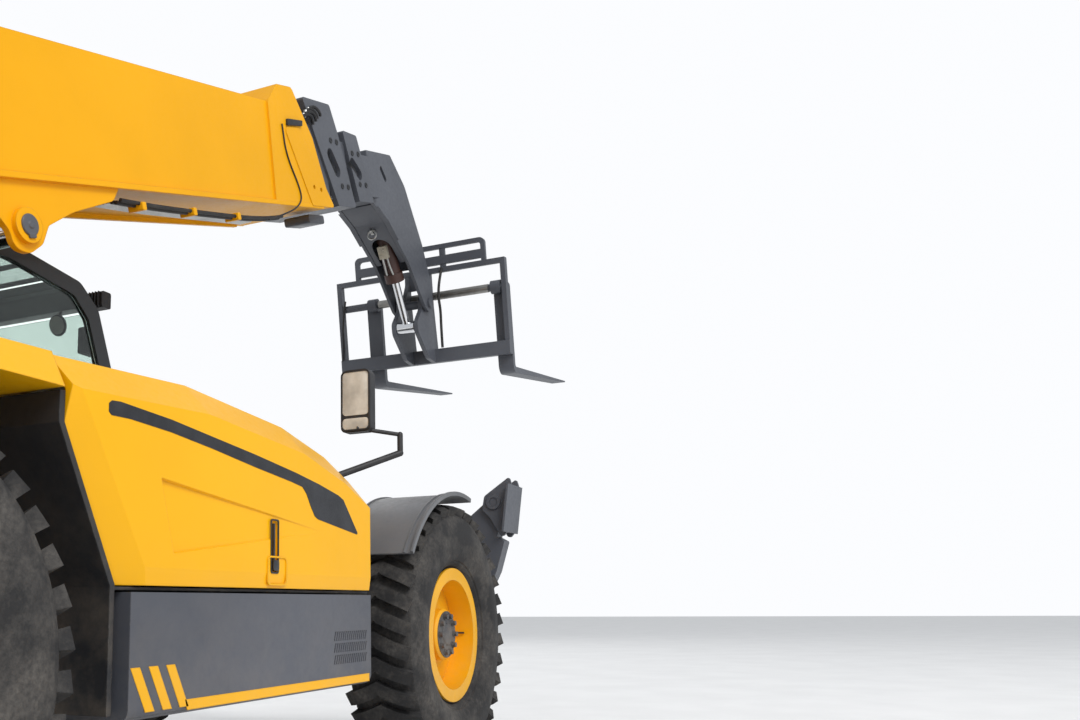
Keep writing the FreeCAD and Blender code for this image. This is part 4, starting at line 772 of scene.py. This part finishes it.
for i, (u, v) in enumerate(boomSizes["fittings"]):
    out = boomSizes["shortHoseOut"][0] + boomSizes["shortHoseOut"][1] * (i % 2)
    line = [(u, v, boomSizes["shortHoseRoot"])]
    line += [(u + along, v + up - fall * i, out + away) for along, up, fall, away in boomSizes["shortHose"]]
    fittings.append(tubeMesh("hose", spotsAt(place, line), boomSizes["shortHoseRadius"]))
    nuts.append(latheMesh("nut", boomSizes["nut"], atSpot(place, (u, v)), around=6))
addPiece("stage_2_hoses", joinMeshes("hoses", fittings), "stage_2", hoseRubber)
addPiece("stage_2_fittings", joinMeshes("nuts", nuts), "stage_2", zincSteel)
footBlock = slabMesh("foot", roundedBox(*boomSizes["footBlock"], boomSizes["footBlockCorner"]),
                     *boomSizes["footBlockWay"], flatPlace, boomSizes["footBlockEdge"])
addPiece("collar_foot_block", footBlock, "boom", machineGrey)
outline = roundedBox(*boomSizes["clevis"], boomSizes["clevisCorner"])
cheeks = [slabMesh("cheek", outline, w, w + boomSizes["cheek"], flatPlace, boomSizes["cheekEdge"])
          for w in boomSizes["cheeks"]]
addPiece("extension_clevis", joinMeshes("cheeks", cheeks), "boom", boomYellow)
clevisPin = latheMesh("pin", boomSizes["clevisPin"], atSpot(flatPlace, boomSizes["clevisPinAt"]), around=28)
addPiece("extension_pin", clevisPin, "boom", oxideBrown)
for sideName in ("right", "left"):
    place = atSpot(boomPlace(-boomSizes["lugFace"]), boomSizes["lug"])
    keeper = slabMesh("keeper", roundedBox(*boomSizes["keeper"], boomSizes["keeperCorner"]),
                      *boomSizes["keeperWay"], place, boomSizes["keeperEdge"])
    pinEnd = joinMeshes("pin", [latheMesh("pin", boomSizes["lugPin"], place, around=40), keeper])
    if sideName == "left":
        pinEnd = mirroredMesh(pinEnd, "pin")
    addPiece("lug_pin_" + sideName, pinEnd, "boom", machineGrey)
print("boom done")

# head: closing plate with its arched opening along the underside, hanging ring, valve block and pipes on the
# tilt cylinder
headSizes = {
    "corner": (6.250, -0.300), "along": (0.7186, -0.6954), "behind": -0.012, "halfWidth": 0.1235,
    "flange": 0.079, "length": 0.425,
    "arch": [(0.255, 0.079), (0.215, 0.071), (0.182, 0.050), (0.166, 0.026), (0.160, 0.0)],
    "upper": [(6.070, -0.181), (6.252, -0.297), (6.262, -0.284), (6.080, -0.168)], "sheet": (0.004, 0.016),
    "ring": (6.283, -0.372), "ringRadius": 0.034, "ringWire": 0.0075, "ringLean": 0.010, "ringSpots": 24,
    "ringLug": (0.040, 0.085, -0.012, 0.012), "ringLugCorner": 0.005, "ringLugWay": (-0.020, 0.006),
    "ringLugEdge": 0.003, "rodEye": (6.710, -1.100),
    "valve": (0.300, 0.400), "valveHalf": 0.036, "valveDepth": (0.058, 0.104), "valveCorner": 0.006,
    "valveEdge": 0.004, "plugAt": (0.03, -0.012), "stubAt": (-0.025, 0.014),
    "plug": [(0, -0.004), (0.014, -0.004), (0.014, 0.008), (0.009, 0.010), (0.009, 0.016), (0, 0.016)],
    "stub": [(0, -0.004), (0.010, -0.004), (0.010, 0.012), (0, 0.012)],
    "pipe": [(-0.004, 1, 0.022), (0.05, 1, 0.020), (0.12, 1.3, 0.012), (0.155, 1.3, -0.004)],
    "pipeSides": (-0.020, 0.018), "pipeRadius": 0.008,
}
u0, v0 = headSizes["corner"]
du, dv = headSizes["along"]
underPlace = flatPlace @ Matrix(((du, 0, -dv, u0), (dv, 0, du, v0), (0, -1, 0, 0), (0, 0, 0, 1)))
half, flange, length, behind = (headSizes[key] for key in ("halfWidth", "flange", "length", "behind"))
arch = headSizes["arch"]
outline = [(behind, -half), (length, -half), (length, -flange)]
outline += [(p, -q) for p, q in arch] + [(p, q) for p, q in arch[-2::-1]]
outline += [(length, flange), (length, half), (behind, half)]
closing = slabMesh("closing", outline, *headSizes["sheet"], underPlace)
upper = slabMesh("upper", headSizes["upper"], -half, half, flatPlace)
addPiece("head_closing_plate", joinMeshes("closing", [closing, upper]), "head", machineGrey)
u, v = headSizes["ring"]
lean, radius, count = headSizes["ringLean"], headSizes["ringRadius"], headSizes["ringSpots"]
angles = [2 * math.pi * i / count for i in range(count)]
ringLine = spotsAt(flatPlace, [(u + lean * math.cos(a), v + radius * math.cos(a), radius * math.sin(a))
                               for a in angles])
ring = tubeMesh("ring", ringLine + ringLine[:1], headSizes["ringWire"], False)
eyeLug = slabMesh("lug", roundedBox(*headSizes["ringLug"], headSizes["ringLugCorner"]),
                  *headSizes["ringLugWay"], underPlace, headSizes["ringLugEdge"])
addPiece("head_ring", joinMeshes("ring", [ring, eyeLug]), "head", zincSteel)

# the valve sits on the tilt barrel's rear side: u along the barrel, w away from it
barrelBase = jointAt["tilt_barrel_swing"]
barrelWay = (flatPlace @ Vector((*headSizes["rodEye"], 0)) - barrelBase).normalized()
barrelOut = Vector((-barrelWay.z, 0, barrelWay.x))
if barrelOut.x > 0:
    barrelOut = -barrelOut
barrelPlace = Matrix(((barrelWay.x, 0, barrelOut.x, barrelBase.x), (0, 1, 0, 0),
                      (barrelWay.z, 0, barrelOut.z, barrelBase.z), (0, 0, 0, 1)))
low, high = headSizes["valve"]
near, far = headSizes["valveDepth"]
half = headSizes["valveHalf"]
outline = roundedBox(low, high, -half, half, headSizes["valveCorner"])
valve = [slabMesh("valve", outline, near, far, barrelPlace, headSizes["valveEdge"])]
for key, start, around in (("plug", low, 6), ("stub", high, 16)):
    along, across = headSizes[key + "At"]
    profile = [(radius, far + w) for radius, w in headSizes[key]]
    valve.append(latheMesh(key, profile, atSpot(barrelPlace, (start + along, across)), around))
addPiece("tilt_valve", joinMeshes("valve", valve), "tilt_barrel", valveBeige)
lines = []
for y in headSizes["pipeSides"]:
    line = [(high + along, y * spread, near + away) for along, spread, away in headSizes["pipe"]]
    lines.append(tubeMesh("line", spotsAt(barrelPlace, line), headSizes["pipeRadius"]))
addPiece("tilt_pipes", joinMeshes("pipes", lines), "tilt_barrel", zincSteel)
print("head done")

# carriage: worn sleeves on the fork shaft, flat bar in the load guard, hoses behind and beside the frame
carriageSizes = {
    "shaft": (0.188, 0.085), "sleeve": (0.0302, 0.0335),
    "segments": [(-0.60, -0.125), (-0.074, 0.074), (0.122, 0.38)],
    "guardBar": [(0.158, 0.300), (0.186, 0.300), (0.186, 0.480), (0.158, 0.480)],
    "guardBarWay": (0.205, 0.252), "guardBarEdge": 0.003,
    "hose": [(0.140, 0.300, 0.226), (0.122, 0.180, 0.198), (0.120, 0.050, 0.188), (0.128, -0.042, 0.196),
             (0.130, -0.190, 0.190), (0.140, -0.350, 0.186)], "hoseRadius": 0.011,
    "sideHose": [(0.148, 0.150, -0.680), (0.148, -0.050, -0.722), (0.148, -0.228, -0.726),
                 (0.148, -0.360, -0.742)], "sideHoseRadius": 0.008,
}
inner, outer = carriageSizes["sleeve"]
shaftPlace = atSpot(carriagePlace(0), carriageSizes["shaft"])
sleeves = []
for low, high in carriageSizes["segments"]:
    profile = [(inner, -high), (outer, -high), (outer, -low), (inner, -low)]
    sleeves.append(latheMesh("sleeve", profile, shaftPlace, around=40))
addPiece("shaft_sleeves", joinMeshes("sleeves", sleeves), "carriage", greasedSteel)
guardBar = slabMesh("bar", carriageSizes["guardBar"], *carriageSizes["guardBarWay"], carriagePlace(0),
                    carriageSizes["guardBarEdge"])
addPiece("guard_bar", guardBar, "carriage", machineGrey)
hoses = [tubeMesh("hose", spotsAt(carriagePlace(0), carriageSizes[key]), carriageSizes[key + "Radius"])
         for key in ("hose", "sideHose")]
addPiece("carriage_hoses", joinMeshes("hoses", hoses), "carriage", hoseRubber)
print("carriage done")

# cab: mirror glass, inner mirror, pillar box and the lamp's lens and fins
cabSizes = {
    "mirrorX": -0.690, "mirror": (-1.075, -0.935, 1.744, 1.958), "wideMirror": (-1.075, -0.935, 1.676, 1.730),
    "glassCorner": 0.018, "glassHalf": 0.002, "glassEdge": 0.001,
    "bezelMargin": 0.008, "bezelRim": 0.007, "bezelCorners": (0.026, 0.020), "bezelWay": (-0.002, 0.005),
    "innerMirror": (-1.000, 0.617, 2.328), "innerTurn": -105, "innerRadius": 0.058,
    "dish": [(0, -0.008), (0.0348, -0.006), (0.052, 0), (0.058, 0.006), (0.058, 0.012), (0.052, 0.016),
             (0, 0.018)],
    "dishGlass": [(0, 0.0165), (0.049, 0.0165), (0.049, 0.0195), (0, 0.0205)],
    "stalk": [(0, -0.004), (0.012, 0.02)], "stalkEnd": (0.015, 2.425), "stalkRadius": 0.009,
    "pillarBox": (-0.935, -0.828, 2.180, 2.325), "pillarBoxCorner": 0.012, "pillarBoxWay": (-0.545, -0.490),
    "pillarBoxEdge": 0.004,
    "lampX": (-0.915, -0.845), "lamp": (0.408, 0.532, 2.432, 2.508), "lensCorner": 0.012,
    "lensWay": (-0.001, 0.005),
    "fins": 6, "finHalf": 0.003, "finOver": 0.004, "finCorner": 0.0025, "finWay": (-0.001, 0.012),
}
mirrorPlace = backPlace(cabSizes["mirrorX"])
# outer mirror plates, their pale colour a painted reflection
glasses = []
for key in ("mirror", "wideMirror"):
    left, right, low, high = cabSizes[key]
    thick = cabSizes["glassHalf"]
    glasses.append(slabMesh("glass", roundedBox(-right, -left, low, high, cabSizes["glassCorner"]),
                            -thick, thick, mirrorPlace, cabSizes["glassEdge"]))
addPiece("mirror_glass", joinMeshes("glass", glasses), "chassis", mirrorPaintedReflection)
margin, rim = cabSizes["bezelMargin"], cabSizes["bezelRim"]
left, right = -cabSizes["mirror"][1] - margin, -cabSizes["mirror"][0] + margin
low, high = cabSizes["wideMirror"][2] - margin, cabSizes["mirror"][3] + margin
outer = roundedBox(left, right, low, high, cabSizes["bezelCorners"][0])
inner = roundedBox(left + rim, right - rim, low + rim, high - rim, cabSizes["bezelCorners"][1])
bezel = rimMesh("bezel", outer, inner, *cabSizes["bezelWay"], mirrorPlace)
addPiece("mirror_bezel", bezel, "chassis", blackPlastic)
x, y, z = cabSizes["innerMirror"]
innerPlace = (Matrix.Translation((frontAxle.x + x, y, z))
              @ Matrix.Rotation(math.radians(cabSizes["innerTurn"]), 4, "Y"))
innerMirror = latheMesh("dish", cabSizes["dish"], innerPlace, around=40)
stalkLine = [(frontAxle.x + x + ahead, y, z + cabSizes["innerRadius"] + up)
             for ahead, up in cabSizes["stalk"]]
stalkLine.append((frontAxle.x + x + cabSizes["stalkEnd"][0], y, cabSizes["stalkEnd"][1]))
stalk = tubeMesh("stalk", stalkLine, cabSizes["stalkRadius"])
# inner mirror face, its pale colour a painted reflection
face = latheMesh("face", cabSizes["dishGlass"], innerPlace, around=40)
addPiece("inner_mirror_glass", face, "chassis", mirrorPaintedReflection)
addPiece("inner_mirror", joinMeshes("inner", [innerMirror, stalk]), "chassis", blackPlastic)
pillarBox = slabMesh("box", roundedBox(*cabSizes["pillarBox"], cabSizes["pillarBoxCorner"]),
                     *cabSizes["pillarBoxWay"], sidePlace(0), cabSizes["pillarBoxEdge"])
addPiece("pillar_box", pillarBox, "chassis", blackPlastic)
finX, lensX = cabSizes["lampX"]
lens = slabMesh("lens", roundedBox(*cabSizes["lamp"], cabSizes["lensCorner"]), *cabSizes["lensWay"],
                facePlace(lensX))
addPiece("lamp_lens", lens, "chassis", lampClear)
left, right, low, high = cabSizes["lamp"]
half, over = cabSizes["finHalf"], cabSizes["finOver"]
fins = []
for i in range(cabSizes["fins"]):
    y = left + (right - left) * (i + 0.5) / cabSizes["fins"]
    outline = roundedBox(-y - half, -y + half, low - over, high + over, cabSizes["finCorner"], 2)
    fins.append(slabMesh("fin", outline, *cabSizes["finWay"], backPlace(finX), 0))
addPiece("lamp_fins", joinMeshes("fins", fins), "chassis", blackPlastic)

# tail: lamp clusters in black housings on the weight's back face
tailSizes = {
    "y": 0.66, "halfWidth": 0.125, "halfHeight": 0.048, "down": 0.205, "corner": 0.018,
    "caseWay": (-0.002, 0.016), "caseEdge": 0.004, "margin": 0.010, "spare": 0.018, "gap": 0.006,
    "lensCorner": 0.010, "lensWay": (0.013, 0.023), "lensEdge": 0.003, "earsReach": 0.3,
}
weight = frame["nodes"]["counterweight"].data
backX = min(v.co.x for v in weight.vertices if abs(v.co.y) > tailSizes["earsReach"]) - frontAxle.x
tailPlace = backPlace(backX)
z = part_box("counterweight")[1].z - tailSizes["down"]
w, h, margin = tailSizes["halfWidth"], tailSizes["halfHeight"], tailSizes["margin"]
for sideName, side in (("right", 1), ("left", -1)):
    middle = side * tailSizes["y"]
    case = slabMesh("case", roundedBox(middle - w, middle + w, z - h, z + h, tailSizes["corner"]),
                    *tailSizes["caseWay"], tailPlace, tailSizes["caseEdge"])
    addPiece("tail_lamp_case_" + sideName, case, "chassis", blackPlastic)
    pitch = (2 * w - tailSizes["spare"]) / 3
    for i, (label, finish) in enumerate((("clear", lampClear), ("red", lampRed), ("amber", lampAmber))):
        start = middle + side * (-w + margin + i * pitch)
        stop = start + side * (pitch - tailSizes["gap"])
        outline = roundedBox(min(start, stop), max(start, stop), z - h + margin, z + h - margin,
                             tailSizes["lensCorner"])
        lens = slabMesh("lens", outline, *tailSizes["lensWay"], tailPlace, tailSizes["lensEdge"])
        addPiece("tail_lens_" + label + "_" + sideName, lens, "chassis", finish)
print("cab and lamps done")

# seat: suspension bellows under a padded cushion and backrest with seams
seatSizes = {
    "cushion": [(-2.108, 1.338), (-1.634, 1.338), (-1.628, 1.412), (-1.665, 1.430), (-2.108, 1.420)],
    "back": [(-2.192, 1.408), (-2.090, 1.408), (-2.136, 2.108), (-2.204, 2.100)],
    "halfWidth": 0.235, "backHalf": 0.225, "corner": 0.024, "grid": 0.006, "pressure": 4.0, "frames": 20,
    "reach": 0.024, "seam": 0.125, "seamHalf": 0.004, "cushionSeams": (-1.86,), "backSeams": (1.72, 1.93),
    "cushionSole": 1.346, "cushionTop": 1.36, "piping": 1.385, "pipingFrom": 0.2, "backShell": -2.180,
    "bellows": (1.010, 1.330, 8), "bellowsHalf": (0.150, 0.190), "bellowsX": -1.890, "foldCorner": 0.04,
    "foldGap": 0.0005, "foldEdge": 0.012,
}
seatLow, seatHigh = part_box("seat")
seatY = (seatLow.y + seatHigh.y) / 2


def puffed(name, outline, half, isHeld):
    # closed block remeshed and blown up as cloth; the held points keep the seams and the underside in place
    holder = holderFor(slabMesh(name, outline, -half, half, sidePlace(seatY), seatSizes["corner"]), name)
    grid = holder.modifiers.new("grid", "REMESH")
    grid.mode = "VOXEL"
    grid.voxel_size = seatSizes["grid"]
    mesh = plainMesh(holder, name)
    holder = holderFor(mesh, name)
    held = [v.index for v in mesh.vertices if isHeld(v.co.x - frontAxle.x, abs(v.co.y - seatY), v.co.z)]
    holder.vertex_groups.new(name="held").add(held, 1.0, "REPLACE")
    cloth = holder.modifiers.new("cloth", "CLOTH")
    cloth.settings.use_pressure = True
    cloth.settings.uniform_pressure_force = seatSizes["pressure"]
    cloth.settings.effector_weights.gravity = 0
    cloth.settings.vertex_group_mass = "held"
    cloth.point_cache.frame_start = 1
    cloth.point_cache.frame_end = seatSizes["frames"]
    for number in range(1, seatSizes["frames"] + 1):
        bpy.context.scene.frame_set(number)
    graph = bpy.context.evaluated_depsgraph_get()
    blown = bpy.data.meshes.new_from_object(holder.evaluated_get(graph), depsgraph=graph)
    for before, after in zip(mesh.vertices, blown.vertices):
        moved = after.co - before.co
        if moved.length > seatSizes["reach"]:
            after.co = before.co + moved.normalized() * seatSizes["reach"]
    bpy.context.scene.frame_set(1)
    bpy.data.objects.remove(holder)
    holder = holderFor(blown, name)
    holder.modifiers.new("smooth", "SUBSURF").levels = 1
    return plainMesh(holder, name)


def onSeam(y, along, seams):
    # the two long seams, and the short ones between them
    near, seam = seatSizes["seamHalf"], seatSizes["seam"]
    return abs(y - seam) < near or any(abs(along - spot) < near and y < seam for spot in seams)


def cushionHeld(x, y, z):
    onTop = z > seatSizes["cushionTop"] and onSeam(y, x, seatSizes["cushionSeams"])
    onPiping = abs(z - seatSizes["piping"]) < seatSizes["seamHalf"] and y > seatSizes["pipingFrom"]
    return z < seatSizes["cushionSole"] or onTop or onPiping


def backHeld(x, y, z):
    return x < seatSizes["backShell"] or onSeam(y, z, seatSizes["backSeams"])


cushionMesh = puffed("cushion", seatSizes["cushion"], seatSizes["halfWidth"], cushionHeld)
cushion = addPiece("seat_cushion", cushionMesh, "chassis", seatCloth, 180)
backMesh = puffed("backrest", seatSizes["back"], seatSizes["backHalf"], backHeld)
backrest = addPiece("seat_backrest", backMesh, "chassis", seatCloth, 180)
low, high, folds = seatSizes["bellows"]
bellowsPlace = Matrix.Translation((frontAxle.x + seatSizes["bellowsX"], seatY, 0))
layers = []
for i in range(folds):
    z = low + (high - low) * i / folds
    half = seatSizes["bellowsHalf"][i % 2]
    outline = [(v, u) for u, v in roundedBox(-half, half, -half, half, seatSizes["foldCorner"])]
    layers.append(slabMesh("fold", outline, z, z + (high - low) / folds - seatSizes["foldGap"], bellowsPlace,
                           seatSizes["foldEdge"]))
seatBase = addPiece("seat_bellows", joinMeshes("bellows", layers), "chassis", blackPlastic)
for piece in (cushion, backrest, seatBase):
    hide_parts("seat")
print("seat done")

# camera at the photograph's viewing angle
cameraSizes = {"eye": (-4.8686, -3.1568, 0.8332), "yaw": 25.944, "pitch": 7.902, "roll": -0.434,
               "lens": 32.963, "sensor": 36, "shiftX": 0.15, "shiftY": 0.10, "clip": (0.05, 200)}
yaw, pitch, roll = (math.radians(cameraSizes[k]) for k in ("yaw", "pitch", "roll"))
ahead = Vector((math.cos(pitch) * math.cos(yaw), math.cos(pitch) * math.sin(yaw), math.sin(pitch)))
level = Vector((math.sin(yaw), -math.cos(yaw), 0))
upward = level.cross(ahead)
right = level * math.cos(roll) + upward * math.sin(roll)
above = -level * math.sin(roll) + upward * math.cos(roll)
eye = Vector(cameraSizes["eye"]) + Vector((frontAxle.x, 0, 0))
cameraData = bpy.data.cameras.new("camera")
cameraData.sensor_width = cameraSizes["sensor"]
cameraData.lens = cameraSizes["lens"]
cameraData.shift_x = cameraSizes["shiftX"]
cameraData.shift_y = cameraSizes["shiftY"]
cameraData.clip_start, cameraData.clip_end = cameraSizes["clip"]
cameraObject = holderFor(cameraData, "camera")
turn = Matrix((right, above, -ahead)).transposed().to_4x4()
cameraObject.matrix_world = Matrix.Translation(eye) @ turn
bpy.context.scene.camera = cameraObject

# pale floor, white backdrop and soft light
stageSizes = {
    "floor": 60.0, "floorColor": (0.93, 0.925, 0.915), "floorPattern": 1.5, "floorShade": 0.95,
    "floorRough": 0.85,
    "skyColor": (0.93, 0.96, 1.0), "skyPower": 0.66, "backdropColor": (0.97, 0.98, 1.0), "backdropPower": 1.0,
    "lampTarget": (0, 0, 1.5),
    "lamps": {"keyLamp": ((-7.5, -13.0, 13.0), 1900.0, 8.0), "fillLamp": ((11.0, 9.5, 10.0), 500.0, 11.0)},
}
half = stageSizes["floor"]
floorMesh = bpy.data.meshes.new("floor")
corners = [(-half, -half, 0), (half, -half, 0), (half, half, 0), (-half, half, 0)]
floorMesh.from_pydata(corners, [], [(0, 1, 2, 3)])
floor = holderFor(floorMesh, "floor")
floorFinish, tree, shader = startMaterial("paleFloor")
cloud = noiseAt(tree, objectPlace(tree), stageSizes["floorPattern"], 5)
tone = mixColor(tree, ramp(tree, cloud, 0.35, 0.65), stageSizes["floorColor"],
                [c * stageSizes["floorShade"] for c in stageSizes["floorColor"]])
tree.links.new(tone, shader.inputs["Base Color"])
shader.inputs["Roughness"].default_value = stageSizes["floorRough"]
floorMesh.materials.append(floorFinish)

# the camera and the glass see the white backdrop; everything else is lit by the dimmer sky
world = bpy.data.worlds.new("studio")
world.use_nodes = True
bpy.context.scene.world = world
tree = world.node_tree
sky = tree.nodes["Background"]
sky.inputs["Color"].default_value = (*stageSizes["skyColor"], 1)
sky.inputs["Strength"].default_value = stageSizes["skyPower"]
backdrop = step(tree, "ShaderNodeBackground", {"Color": (*stageSizes["backdropColor"], 1),
                                               "Strength": stageSizes["backdropPower"]})
rays = step(tree, "ShaderNodeLightPath").outputs
seen = step(tree, "ShaderNodeMath", {0: rays["Is Camera Ray"], 1: rays["Is Transmission Ray"]},
            operation="MAXIMUM")
mixed = step(tree, "ShaderNodeMixShader", {0: seen.outputs[0], 1: sky.outputs[0], 2: backdrop.outputs[0]})
tree.links.new(mixed.outputs[0], tree.nodes["World Output"].inputs["Surface"])

for name, (place, power, size) in stageSizes["lamps"].items():
    lamp = bpy.data.lights.new(name, "AREA")
    lamp.energy = power
    lamp.size = size
    holder = holderFor(lamp, name)
    holder.location = place
    holder.rotation_mode = "QUATERNION"
    holder.rotation_quaternion = (Vector(stageSizes["lampTarget"]) - Vector(place)).to_track_quat("-Z", "Y")
bpy.context.scene.view_settings.view_transform = "Standard"
print("camera and stage done")
